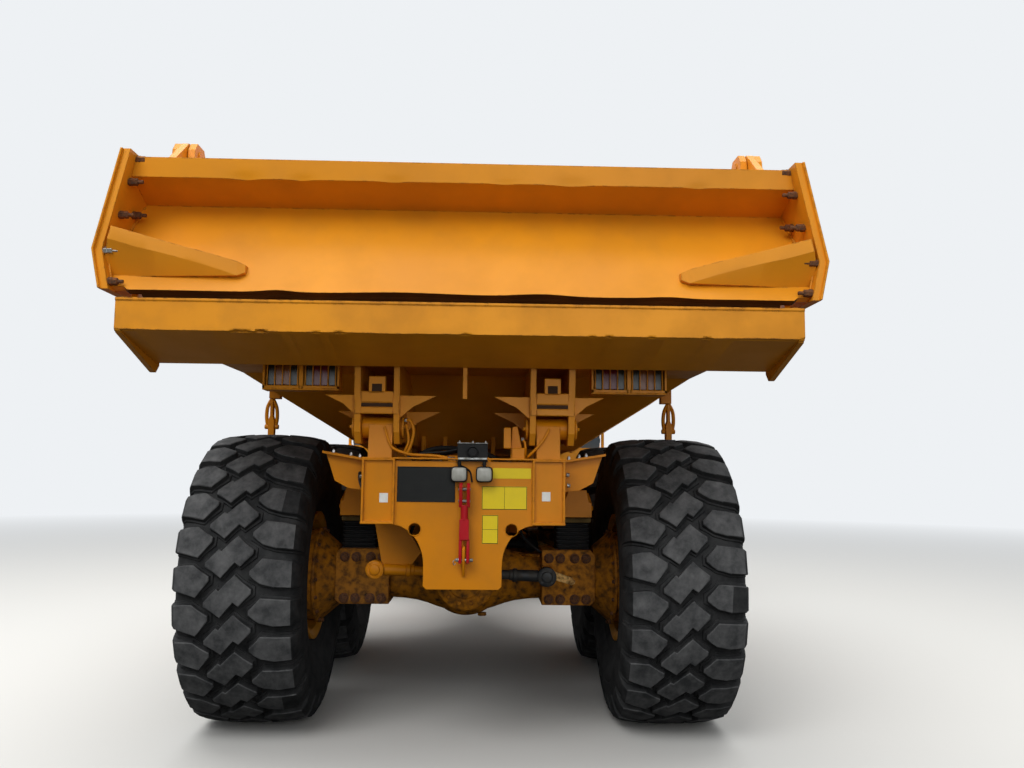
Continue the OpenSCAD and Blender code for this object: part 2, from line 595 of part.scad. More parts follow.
module hood() {
    color(yellow) placed() {
        difference() {
            slab_y(hood_out, -760, 760);
            slab_y([[hood_x0 - 10, 1400], [hood_x0 - 10, 2690], [hood_x0 + 500, 2670], [x_end - 335, 2350],
                [x_end - 155, 2262], [x_end - 90, 2045], [x_end - 90, 1700], [x_end - 150, 1400]], -730, 730);
            box([x_end - 200, -520, 1620], [x_end, 520, 2150]);
        }
        both() slab_y([[hood_pin.x - 45, hood_pin.y - 30], [hood_pin.x + 45, hood_pin.y - 30],
            [x_end - 124, 1504], [x_end - 98, 1600], [x_end - 200, 1600], [hood_pin.x - 45, 1440]], 386, 430);
        both() drum_y(hood_pin, 25, 340, 430);
    }
}

module grille() {
    color(black) placed() {
        box([x_end - 110, -520, 1620], [x_end - 75, 520, 2045]);
        for (i = [0:8]) box([x_end - 76, -520, 1640 + i * 46], [x_end - 62, 520, 1662 + i * 46]);
    }
}

module bumper() {
    color(dark) placed() difference() {
        union() {
            slab_z([[x_end - 300, -1500], [x_end - 90, -1480], [x_end, -1250], [x_end, 1250], [x_end - 90, 1480],
                [x_end - 300, 1500]], 800, 1190);
            both() box([x_end - 420, 345, 1100], [x_end - 200, 900, 1180]);
        }
        both() box([x_end - 60, 780, 980], [x_end + 10, 1150, 1140]);
    }
}

module head_lamps() {
    color(cream) placed() both() {
        box([x_end - 60, 780, 980], [x_end - 30, 1150, 1140]);
    }
}

module fenders() {
    color(yellow) placed() both() difference() {
        slab_y([[x_front - 990, 1700], [x_front - 990, fender_top], [x_front + 1000, fender_top],
            [x_front + 1250, fender_top - 260], [x_front + 1250, 1240], [x_front + 1200, 1240],
            [x_front + 1200, fender_z - 240], [x_front + 960, fender_z], [x_front - 950, fender_z],
            [x_front - 950, 1700]], 790, 1700);
        box([x_front - 1000, 700, 1200], [cab_x1 + 10, cab_y + 20, fender_top + 10]);
    }
}

// The side view of the cab
cab_side = [[cab_x0, cab_floor], [cab_x0, 2900], [cab_x0 + 60, cab_top - 60], [cab_x0 + 120, cab_top],
    [cab_x1 - 380, cab_top], [cab_x1 - 300, cab_top - 50], [cab_x1, 2720], [cab_x1, cab_floor]];
cab_inside = [[cab_x0 + cab_t, cab_floor + cab_t], [cab_x0 + cab_t, 2900], [cab_x0 + 60 + cab_t, cab_top - 90],
    [cab_x0 + 140, cab_top - cab_t], [cab_x1 - 390, cab_top - cab_t], [cab_x1 - 340, cab_top - 80],
    [cab_x1 - cab_t, 2710], [cab_x1 - cab_t, cab_floor + cab_t]];
door_side = [[door_x0, door_z0], [door_x0, cab_top - 130], [door_x1 - 310, cab_top - 130],
    [door_x1, 2710], [door_x1, door_z0]];
door_hole = [[door_x0 + 70, 2480], [door_x0 + 70, cab_top - 200], [door_x1 - 350, cab_top - 200],
    [door_x1 - 75, 2700], [door_x1 - 75, 2480]];
win_side = [[door_x0 + 50, 2480], [door_x0 + 50, cab_top - 190], [door_x1 - 340, cab_top - 190],
    [door_x1 - 60, 2700], [door_x1 - 60, 2480]];
win_quarter = [[cab_x0 + 90, 2480], [cab_x0 + 120, cab_top - 190], [door_x0 - 60, cab_top - 190],
    [door_x0 - 60, 2480]];

module cab_shell() {
    color(yellow) placed() difference() {
        slab_y(cab_side, -cab_y, cab_y);
        slab_y(cab_inside, -cab_y + cab_t, cab_y - cab_t);
        slab_y([[door_x0 - side_gap, door_z0 - side_gap], [door_x0 - side_gap, cab_top - 130 + side_gap],
            [door_x1 - 307, cab_top - 130 + side_gap], [door_x1 + side_gap, 2712],
            [door_x1 + side_gap, door_z0 - side_gap]], cab_y - cab_t - 10, cab_y + 10);
        slab_y(win_side, -cab_y - 10, -cab_y + cab_t + 10);
        slab_y(win_quarter, -cab_y - 10, cab_y + 10);
        slab_x([[-cab_y + 90, 2760], [-cab_y + 90, cab_top - 150], [cab_y - 90, cab_top - 150], [cab_y - 90, 2760]],
            cab_x1 - 400, cab_x1 + 50);
        slab_x([[-cab_y + 120, 2520], [-cab_y + 120, 2900], [cab_y - 120, 2900], [cab_y - 120, 2520]],
            cab_x0 - 50, cab_x0 + 60);
    }
    color(yellow) placed() for (z = hinge_z) {
        for (h = [z - 65, z + 145]) drum_z([hinge_x, hinge_y], 20, h, h + 60);
        for (h = [z - 65, z + 145]) box([hinge_x - 60, cab_y, h], [hinge_x, cab_y + 20, h + 60]);
        drum_z([hinge_x, hinge_y], 9, z - 40, z + 180);
    }
}

module cab_glass() {
    color(glass) placed() {
        slab_y(win_side, -cab_y + 15, -cab_y + 15 + glass_t);
        both() slab_y(win_quarter, cab_y - 15 - glass_t, cab_y - 15);
        intersection() {
            slab_x([[-cab_y + 90, 2760], [-cab_y + 90, cab_top - 150], [cab_y - 90, cab_top - 150],
                [cab_y - 90, 2760]], cab_x1 - 400, cab_x1 + 50);
            slab_y([[cab_x1 - 19, 2700], [cab_x1 - 312, cab_top - 60], [cab_x1 - 322, cab_top - 64],
                [cab_x1 - 29, 2696]], -cab_y, cab_y);
        }
        slab_x([[-cab_y + 120, 2520], [-cab_y + 120, 2900], [cab_y - 120, 2900], [cab_y - 120, 2520]],
            cab_x0 + 20, cab_x0 + 20 + glass_t);
    }
}

module cab_door() {
    color(yellow) placed() difference() {
        union() {
            slab_y(door_side, cab_y - cab_t + 2, cab_y);
            for (z = hinge_z) drum_z([hinge_x, hinge_y], 20, z, z + 140);
            for (z = hinge_z) box([hinge_x, cab_y - 4, z], [hinge_x + 95, hinge_y + 2, z + 140]);
        }
        slab_y(door_hole, cab_y - cab_t - 10, cab_y + 10);
        for (z = hinge_z) drum_z([hinge_x, hinge_y], 9 + pin_gap, z - 10, z + 150);
    }
}

module door_glass() { color(glass) placed() slab_y(door_hole, cab_y - 25 - glass_t, cab_y - 25); }

module cab_seat() {
    color(dark) placed() {
        box([cab_x0 + 520, -230, cab_floor + cab_t], [cab_x0 + 900, 230, cab_floor + 330]);
        box([cab_x0 + 460, -260, cab_floor + 330], [cab_x0 + 980, 260, cab_floor + 480]);
        slab_y([[cab_x0 + 340, cab_floor + 1130], [cab_x0 + 460, cab_floor + 1130], [cab_x0 + 560, cab_floor + 450],
            [cab_x0 + 440, cab_floor + 400]], -250, 250);
    }
}

module cab_console() {
    color(dark) placed() {
        box([cab_x1 - 360, -700, cab_floor + 500], [cab_x1 - cab_t, 700, cab_floor + 900]);
        box([cab_x1 - 250, -300, cab_floor + cab_t], [cab_x1 - cab_t, 300, cab_floor + 510]);
        bar([cab_x1 - 250, 0, cab_floor + 600], [cab_x1 - 470, 0, cab_floor + 820], 28);
        translate([cab_x1 - 470, 0, cab_floor + 820]) rotate([0, -45, 0])
            rotate_extrude($fn = 64) translate([210, 0]) circle(r = 16, $fn = 24);
        translate([cab_x1 - 470, 0, cab_floor + 820]) rotate([0, -45, 0]) cube([40, 410, 12], center = true);
    }
}

module steps() {
    color(dark) placed() both() {
        for (z = [560, 860, 1160]) box([x_front + 1300, 1180, z], [x_front + 1800, 1560, z + 40]);
        for (x = [x_front + 1300, x_front + 1770]) box([x, 1500, 560], [x + 30, 1560, 1290]);
        box([x_front + 1250, 780, 1240], [x_front + 2100, 1600, 1290]);
    }
}

module handrails() {
    color(yellow) placed() both() {
        for (x = [x_front - 930, x_front - 500]) bar([x, 1650, fender_top], [x, 1650, 2800], 20);
        for (z = [2400, 2800]) bar([x_front - 930, 1650, z], [x_front - 500, 1650, z], 20);
        for (x = [x_front + 1320, x_front + 1720]) bar([x, 1560, 1290], [x, 1560, 2350], 20);
        bar([x_front + 1320, 1560, 2350], [x_front + 1720, 1560, 2350], 20);
    }
}

module side_boxes() {
    color(slate) placed() both() {
        box([x_front - 960, 1000, fender_top], [x_front - 480, 1600, boxes_top]);
    }
}

module exhaust() {
    color(dark) placed() {
        drum_z([cab_x0 + 250, -1000], 95, boxes_top, 3300);
        drum_z([cab_x0 + 250, -1000], 60, 3290, 3600);
    }
}

module mirrors() {
    color(black) placed() both() {
        bar([cab_x1 - 150, cab_y, 3000], [cab_x1 - 150, 1250, 3000], 16);
        box([cab_x1 - 175, 1190, 2700], [cab_x1 - 120, 1440, 3150]);
    }
}

rear_frame();
bogie_beams();
rubber_springs();
rear_axles();
cross_rods();
drive_shafts();
work_lamps();
number_plate();
lock_link();
tyre_rl();
rim_rl();
tyre_rr();
rim_rr();
tyre_ml();
rim_ml();
tyre_mr();
rim_mr();
dump_body();
tail_lamps();
gate_links();
tailgate();
gate_arms();
hoist_barrel_l();
hoist_rod_l();
hoist_barrel_r();
hoist_rod_r();
hitch();
steer_barrel_l();
steer_rod_l();
steer_barrel_r();
steer_rod_r();
front_frame();
front_axle();
front_springs();
engine();
hood();
grille();
bumper();
head_lamps();
fenders();
tyre_fl();
rim_fl();
tyre_fr();
rim_fr();
cab_shell();
cab_glass();
cab_door();
door_glass();
cab_seat();
cab_console();
steps();
handrails();
side_boxes();
exhaust();
mirrors();
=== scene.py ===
from math import cos, exp, pi, radians, sin, tau

import bmesh
import bpy
import numpy as np
from mathutils import Matrix, Vector, noise


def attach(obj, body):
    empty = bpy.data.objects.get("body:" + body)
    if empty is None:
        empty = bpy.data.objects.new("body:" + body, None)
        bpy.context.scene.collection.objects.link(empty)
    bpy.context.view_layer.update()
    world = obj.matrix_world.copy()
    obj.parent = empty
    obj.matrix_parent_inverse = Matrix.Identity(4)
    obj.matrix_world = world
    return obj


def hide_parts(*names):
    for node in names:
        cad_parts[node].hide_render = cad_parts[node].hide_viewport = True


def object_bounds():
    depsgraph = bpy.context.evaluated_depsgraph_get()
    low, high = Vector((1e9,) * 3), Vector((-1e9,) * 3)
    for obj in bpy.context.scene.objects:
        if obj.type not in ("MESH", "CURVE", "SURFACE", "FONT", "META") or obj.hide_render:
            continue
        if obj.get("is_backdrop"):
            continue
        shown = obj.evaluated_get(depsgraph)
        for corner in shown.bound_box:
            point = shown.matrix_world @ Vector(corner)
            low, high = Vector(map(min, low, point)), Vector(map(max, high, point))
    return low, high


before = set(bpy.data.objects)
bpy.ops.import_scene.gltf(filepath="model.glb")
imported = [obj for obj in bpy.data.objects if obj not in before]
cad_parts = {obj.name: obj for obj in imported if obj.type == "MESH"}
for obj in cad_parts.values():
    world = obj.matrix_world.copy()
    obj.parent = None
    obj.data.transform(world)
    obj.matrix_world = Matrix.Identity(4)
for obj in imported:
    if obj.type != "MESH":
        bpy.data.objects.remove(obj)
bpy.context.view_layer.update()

# Metres. Lengths along x are written from the rearmost axle, as on a dimension drawing.
REAR_AXLE = -3.885
MIDDLE_AXLE = 1.94
FRONT_AXLE = 6.39
WHEEL_Y = 1.318
TYRE_R = 0.935
PLATE_X = -1.105
HINGE_X, HINGE_Z = -1.0, 1.88
CAB_REAR, CAB_SIDE = 5.34, 0.83


# Materials

def linear(colour):
    """The linear colour of an sRGB hex value."""
    parts = [int(colour[i:i + 2], 16) / 255 for i in (1, 3, 5)]
    return [c / 12.92 if c <= 0.04045 else ((c + 0.055) / 1.055) ** 2.4 for c in parts] + [1.0]


def node(tree, kind, inputs=None, **settings):
    """Add a node, with its settings, and its inputs set or linked."""
    made = tree.nodes.new(kind)
    for key, value in settings.items():
        setattr(made, key, value)
    for key, value in (inputs or {}).items():
        if isinstance(value, bpy.types.NodeSocket):
            tree.links.new(value, made.inputs[key])
        else:
            made.inputs[key].default_value = value
    return made


def start(name, **sockets):
    """A material with its shader's own values set, and the place on the piece."""
    material = bpy.data.materials.new(name)
    material.use_nodes = True
    tree = material.node_tree
    shader = tree.nodes["Principled BSDF"]
    for key, value in sockets.items():
        shader.inputs[key.replace("_", " ")].default_value = value
    where = node(tree, "ShaderNodeTexCoord").outputs["Object"]
    return material, tree, shader, where


def blotches(tree, where, size, low, high, detail=4.0, rough=0.55):
    """A share from 0 to 1 in patches of a size in metres, between two levels of the noise."""
    cloud = node(tree, "ShaderNodeTexNoise", {"Vector": where, "Scale": 1 / size, "Detail": detail,
                                               "Roughness": rough})
    return node(tree, "ShaderNodeMapRange", {"Value": cloud.outputs["Fac"], "From Min": low,
                                             "From Max": high}).outputs["Result"]


def mixed(tree, share, a, b):
    """Two colours mixed by a share."""
    mix = node(tree, "ShaderNodeMix", data_type="RGBA")
    for key, value in (("Factor", share), ("A", a), ("B", b)):
        socket = next(s for s in mix.inputs if s.name == key and s.enabled)
        if isinstance(value, bpy.types.NodeSocket):
            tree.links.new(value, socket)
        else:
            socket.default_value = value
    return next(s for s in mix.outputs if s.enabled)


def maths(tree, operation, a, b=0.0):
    """One step of arithmetic, kept between 0 and 1."""
    return node(tree, "ShaderNodeMath", {0: a, 1: b}, operation=operation, use_clamp=True).outputs[0]


def worn_edge(tree, radius, low, high):
    """A share from 0 on flat faces to 1 at edges within a small radius."""
    soft = node(tree, "ShaderNodeBevel", {"Radius": radius}, samples=4).outputs["Normal"]
    flat = node(tree, "ShaderNodeNewGeometry").outputs["Normal"]
    same = node(tree, "ShaderNodeVectorMath", {0: soft, 1: flat}, operation="DOT_PRODUCT").outputs["Value"]
    ramp = node(tree, "ShaderNodeMapRange", {"Value": same, "From Min": low, "From Max": high})
    return ramp.outputs["Result"]


def enamel(name, fresh, faded, grime, grime_share=0.25, chips=0.35, roughness=0.36, patch=0.22):
    """Two-pack enamel sprayed on welded plate: an even colour with a mild sheen, a little faded in patches,
    dust and mud in blotches, and chips to rust along the edges."""
    material, tree, shader, where = start(name, IOR=1.5, Specular_IOR_Level=0.18)
    colour = mixed(tree, blotches(tree, where, 0.9, 0.35, 0.65), linear(fresh), linear(faded))
    dusty = maths(tree, "MULTIPLY", blotches(tree, where, patch, 0.42, 0.72, 8.0), grime_share)
    colour = mixed(tree, dusty, colour, linear(grime))
    edge = worn_edge(tree, 0.012, 0.985, 0.90)
    chipped = maths(tree, "MULTIPLY", edge, blotches(tree, where, 0.05, 0.56 - 0.1 * chips, 0.60, 6.0))
    chipped = maths(tree, "MULTIPLY", chipped, chips)
    rust = mixed(tree, blotches(tree, where, 0.01, 0.4, 0.6), linear("#5A3218"), linear("#8C5A2A"))
    colour = mixed(tree, chipped, colour, rust)
    tree.links.new(colour, shader.inputs["Base Color"])
    gloss = node(tree, "ShaderNodeMapRange", {"Value": maths(tree, "ADD", dusty, chipped),
                                              "To Min": roughness, "To Max": 0.85})
    tree.links.new(gloss.outputs["Result"], shader.inputs["Roughness"])
    rounded = node(tree, "ShaderNodeBevel", {"Radius": 0.004}, samples=4).outputs["Normal"]
    wave = node(tree, "ShaderNodeTexNoise", {"Vector": where, "Scale": 1 / 0.45, "Detail": 2.0})
    dent = node(tree, "ShaderNodeBump", {"Height": wave.outputs["Fac"], "Distance": 0.012, "Strength": 0.35,
                                         "Normal": rounded})
    peel = node(tree, "ShaderNodeTexNoise", {"Vector": where, "Scale": 1 / 0.004, "Detail": 2.0})
    bump = node(tree, "ShaderNodeBump", {"Height": peel.outputs["Fac"], "Distance": 0.0004, "Strength": 0.3,
                                         "Normal": dent.outputs["Normal"]})
    tree.links.new(bump.outputs["Normal"], shader.inputs["Normal"])
    return material


def moulded(name, dark, light, grain=0.006, depth=0.0008, roughness=0.7, patch=0.12, share=0.6):
    """Rubber or plastic from a mould: dull, with a fine grain, and dust that lies in patches."""
    material, tree, shader, where = start(name, Roughness=roughness, Specular_IOR_Level=0.2)
    dusty = maths(tree, "MULTIPLY", blotches(tree, where, patch, 0.35, 0.70, 8.0, 0.65), share)
    tree.links.new(mixed(tree, dusty, linear(dark), linear(light)), shader.inputs["Base Color"])
    cloud = node(tree, "ShaderNodeTexNoise", {"Vector": where, "Scale": 1 / grain, "Detail": 5.0})
    rounded = node(tree, "ShaderNodeBevel", {"Radius": 0.003}, samples=4).outputs["Normal"]
    bump = node(tree, "ShaderNodeBump", {"Height": cloud.outputs["Fac"], "Distance": depth, "Strength": 0.6,
                                         "Normal": rounded})
    tree.links.new(bump.outputs["Normal"], shader.inputs["Normal"])
    return material


def worked_metal(name, bright, dull, metallic=1.0, roughness=0.35, patch=0.02, low=0.4, high=0.65,
                 spread=0.25):
    """Bare metal: bright where it is worked, duller or rusted in patches."""
    material, tree, shader, where = start(name, Metallic=metallic)
    share = blotches(tree, where, patch, low, high, 6.0)
    tree.links.new(mixed(tree, share, linear(bright), linear(dull)), shader.inputs["Base Color"])
    gloss = node(tree, "ShaderNodeMapRange", {"Value": share, "To Min": roughness,
                                              "To Max": min(1.0, roughness + spread)})
    tree.links.new(gloss.outputs["Result"], shader.inputs["Roughness"])
    rounded = node(tree, "ShaderNodeBevel", {"Radius": 0.002}, samples=4).outputs["Normal"]
    cloud = node(tree, "ShaderNodeTexNoise", {"Vector": where, "Scale": 1 / (patch * 0.3), "Detail": 3.0})
    bump = node(tree, "ShaderNodeBump", {"Height": cloud.outputs["Fac"], "Distance": patch * 0.03,
                                         "Strength": 0.4, "Normal": rounded})
    tree.links.new(bump.outputs["Normal"], shader.inputs["Normal"])
    return material


# The wave texture repeats at this distance in metres at a scale of 1.
WAVE_PITCH = 0.31416


def moulded_lens(name, colour, inner, pitch=0.006):
    """A lens of clear or dyed plastic, with the fine flutes of its inner face."""
    material, tree, shader, where = start(name, Roughness=0.12, IOR=1.49)
    flutes = node(tree, "ShaderNodeTexWave", {"Vector": where, "Scale": WAVE_PITCH / pitch,
                                              "Distortion": 0.0}, wave_type="BANDS", bands_direction="Y")
    share = maths(tree, "MULTIPLY", flutes.outputs["Fac"], 0.5)
    tree.links.new(mixed(tree, share, linear(colour), linear(inner)), shader.inputs["Base Color"])
    bump = node(tree, "ShaderNodeBump", {"Height": flutes.outputs["Fac"], "Distance": 0.001, "Strength": 0.5})
    tree.links.new(bump.outputs["Normal"], shader.inputs["Normal"])
    return material


def float_glass(name, tint, alpha):
    """Tinted glass, seen through: a clear sheet with a film of dust."""
    material, tree, shader, where = start(name, Roughness=0.04, IOR=1.52)
    film = blotches(tree, where, 0.18, 0.45, 0.75, 6.0)
    tree.links.new(mixed(tree, film, linear(tint), linear("#8F948F")), shader.inputs["Base Color"])
    share = node(tree, "ShaderNodeMapRange", {"Value": film, "To Min": alpha, "To Max": alpha + 0.15})
    tree.links.new(share.outputs["Result"], shader.inputs["Alpha"])
    return material


def woven(name, dark, light):
    """Seat cloth, woven: threads across each other, drawn coarse enough to show, 2.5 mm apart."""
    material, tree, shader, where = start(name, Roughness=0.9, Sheen_Weight=0.3)
    bands = [node(tree, "ShaderNodeTexWave", {"Vector": where, "Scale": WAVE_PITCH / 0.0025,
                                              "Distortion": 1.0}, bands_direction=way).outputs["Fac"]
             for way in ("Y", "Z")]
    threads = maths(tree, "MULTIPLY", bands[0], bands[1])
    tree.links.new(mixed(tree, threads, linear(dark), linear(light)), shader.inputs["Base Color"])
    bump = node(tree, "ShaderNodeBump", {"Height": threads, "Distance": 0.001, "Strength": 0.5})
    tree.links.new(bump.outputs["Normal"], shader.inputs["Normal"])
    return material


FRAME_ENAMEL = enamel("chassis_enamel", "#D88400", "#CC7E06", "#8A5E20", 0.26, 0.5)
BODY_ENAMEL = enamel("dump_body_enamel", "#E2921A", "#D4881C", "#A26C28", 0.20, 0.6)
LIP_ENAMEL = enamel("lip_enamel_worn", "#E4961E", "#D88C1C", "#8C5A20", 0.32, 1.0, 0.42)
CAB_ENAMEL = enamel("cab_enamel", "#E2941A", "#DA901C", "#B4843C", 0.12, 0.1, 0.28)
AXLE_ENAMEL = enamel("axle_enamel_caked", "#BC7612", "#8E5C1C", "#33261A", 1.0, 1.0, 0.6, 0.045)
FLAKED_ENAMEL = enamel("lever_enamel_flaked", "#E8BC74", "#D8A45A", "#4A3422", 0.9, 1.0, 0.6, 0.02)
# a dark enamel for painted shade: on the gate's lowest faces in the gap under the gate, and in the hinge's
# gaps and slots
SHADE_ENAMEL = enamel("painted_shade_enamel", "#4A2E12", "#3A2410", "#241A10", 0.7, 0.6, 0.6)
RIM_ENAMEL = enamel("wheel_enamel", "#DE9218", "#C68420", "#5E4422", 0.5, 0.6, 0.45)
RED_ENAMEL = enamel("lock_link_enamel", "#C80E1E", "#B00C1A", "#5A2020", 0.25, 0.7, 0.35)
LABEL_YELLOW = moulded("label_film_yellow", "#E3C81A", "#D2B92A", 0.02, 0.0001, 0.4, 0.08, 0.4)
LABEL_WHITE = moulded("label_film_white", "#E6E6E0", "#C9C8C0", 0.02, 0.0001, 0.4, 0.03, 0.5)
PRINT_BLACK = moulded("label_print_black", "#15151A", "#26262A", 0.02, 0.0001, 0.5, 0.03, 0.5)
TYRE_RUBBER = moulded("tyre_rubber_vulcanised", "#1A1B1C", "#3C3C3C", 0.004, 0.0007, 0.72, 0.09, 0.75)
WORN_RUBBER = moulded("tyre_rubber_road_worn", "#363738", "#6A6A6A", 0.004, 0.0007, 0.75, 0.09, 0.75)
SPRING_RUBBER = moulded("spring_rubber_vulcanised", "#131416", "#2C2B29", 0.008, 0.0008, 0.75, 0.1, 0.5)
HOSE_RUBBER = moulded("hose_rubber_covered", "#17181A", "#34312C", 0.003, 0.0005, 0.55, 0.05, 0.5)
BLACK_PLASTIC = moulded("black_plastic_moulded", "#0D0E0F", "#26231E", 0.0025, 0.0003, 0.55, 0.05, 0.5)
PLATE_BLACK = moulded("number_plate_enamelled", "#0B0D0C", "#1A1B18", 0.02, 0.0002, 0.45, 0.06, 0.5)
SLATE_PANEL = moulded("slate_panel_pressed", "#4A545C", "#5C6468", 0.05, 0.001, 0.55, 0.3, 0.5)
DARK_STEEL = worked_metal("dark_steel_coated", "#2E3032", "#3A3630", 0.4, 0.5, 0.05)
DUSTY_STEEL = moulded("spring_plate_dusty", "#6E5A34", "#8A7444", 0.01, 0.0006, 0.75, 0.06, 0.8)
CHROME_ROD = worked_metal("piston_rod_chromed", "#D5D7D8", "#B9B6AE", 1.0, 0.10, 0.06, 0.45, 0.75, 0.2)
ZINC_BOLT = worked_metal("bolt_zinc_plated", "#C9CBCB", "#8E8A80", 1.0, 0.3, 0.012)
RUSTY_BOLT = worked_metal("bolt_rusted", "#4A3020", "#7A4E2C", 0.3, 0.7, 0.012, 0.4, 0.6, 0.25)
GALVANISED = worked_metal("bracket_galvanised", "#A8AAA8", "#7D7C74", 0.9, 0.4, 0.03)
CLEAR_LENS = moulded_lens("lamp_lens_clear", "#ACACA2", "#5C5C54", 0.007)
RED_LENS = moulded_lens("lamp_lens_red", "#6E0E1A", "#3A0810")
AMBER_LENS = moulded_lens("lamp_lens_amber", "#8A4A10", "#4A2A10")
SMOKED_LENS = moulded_lens("lamp_lens_smoked", "#262A22", "#14160F")
WINDOW = float_glass("window_glass_tinted", "#20292B", 0.42)
MIRROR = worked_metal("mirror_silvered", "#C8CCCE", "#B4B8BA", 1.0, 0.03, 0.3, 0.4, 0.6, 0.05)
SEAT_CLOTH = woven("seat_cloth_woven", "#1E2023", "#3C4044")

MATERIAL_OF = {
    "rear_frame": FRAME_ENAMEL, "bogie_beams": FRAME_ENAMEL, "rubber_springs": SPRING_RUBBER,
    "rear_axles": AXLE_ENAMEL, "cross_rods": FRAME_ENAMEL, "drive_shafts": DARK_STEEL,
    "work_lamps": BLACK_PLASTIC, "number_plate": BLACK_PLASTIC, "lock_link": RED_ENAMEL,
    "dump_body": BODY_ENAMEL, "tail_lamps": BLACK_PLASTIC, "gate_links": FRAME_ENAMEL,
    "tailgate": BODY_ENAMEL, "gate_arms": BODY_ENAMEL, "hitch": FRAME_ENAMEL, "front_frame": FRAME_ENAMEL,
    "front_axle": AXLE_ENAMEL, "front_springs": SPRING_RUBBER, "engine": DARK_STEEL, "hood": CAB_ENAMEL,
    "grille": BLACK_PLASTIC, "bumper": DARK_STEEL, "head_lamps": CLEAR_LENS, "fenders": CAB_ENAMEL,
    "cab_shell": CAB_ENAMEL, "cab_glass": WINDOW, "cab_door": CAB_ENAMEL, "door_glass": WINDOW,
    "cab_seat": SEAT_CLOTH, "cab_console": BLACK_PLASTIC, "steps": DARK_STEEL, "handrails": CAB_ENAMEL,
    "side_boxes": SLATE_PANEL, "exhaust": DARK_STEEL, "mirrors": BLACK_PLASTIC}
for side in "lr":
    MATERIAL_OF["hoist_barrel_" + side] = MATERIAL_OF["steer_barrel_" + side] = FRAME_ENAMEL
    MATERIAL_OF["hoist_rod_" + side] = MATERIAL_OF["steer_rod_" + side] = CHROME_ROD
for wheel in ("rl", "rr", "ml", "mr", "fl", "fr"):
    MATERIAL_OF["tyre_" + wheel] = TYRE_RUBBER
    MATERIAL_OF["rim_" + wheel] = RIM_ENAMEL
for name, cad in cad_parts.items():
    cad.data.materials.clear()
    cad.data.materials.append(MATERIAL_OF[name])


# Making pieces

def laid(axis, u, v, depth):
    """A point from its place across an axis and its depth along it."""
    return {"x": (depth, u, v), "y": (u, depth, v), "z": (u, v, depth)}[axis]


def anticlockwise(outline):
    """The outline's points, in order against the clock."""
    area = sum(a[0] * b[1] - b[0] * a[1] for a, b in zip(outline, outline[1:] + outline[:1]))
    return [Vector(p) for p in (outline if area > 0 else outline[::-1])]


def inset(outline, distance):
    """An outline moved inward by a distance."""
    moved = []
    for i, p in enumerate(outline):
        before, after = (p - outline[i - 1]).normalized(), (outline[(i + 1) % len(outline)] - p).normalized()
        inward = Vector((-before.y - after.y, before.x + after.x))
        moved.append(p + inward * (2 * distance / max(inward.length_squared, 0.3)))
    return moved


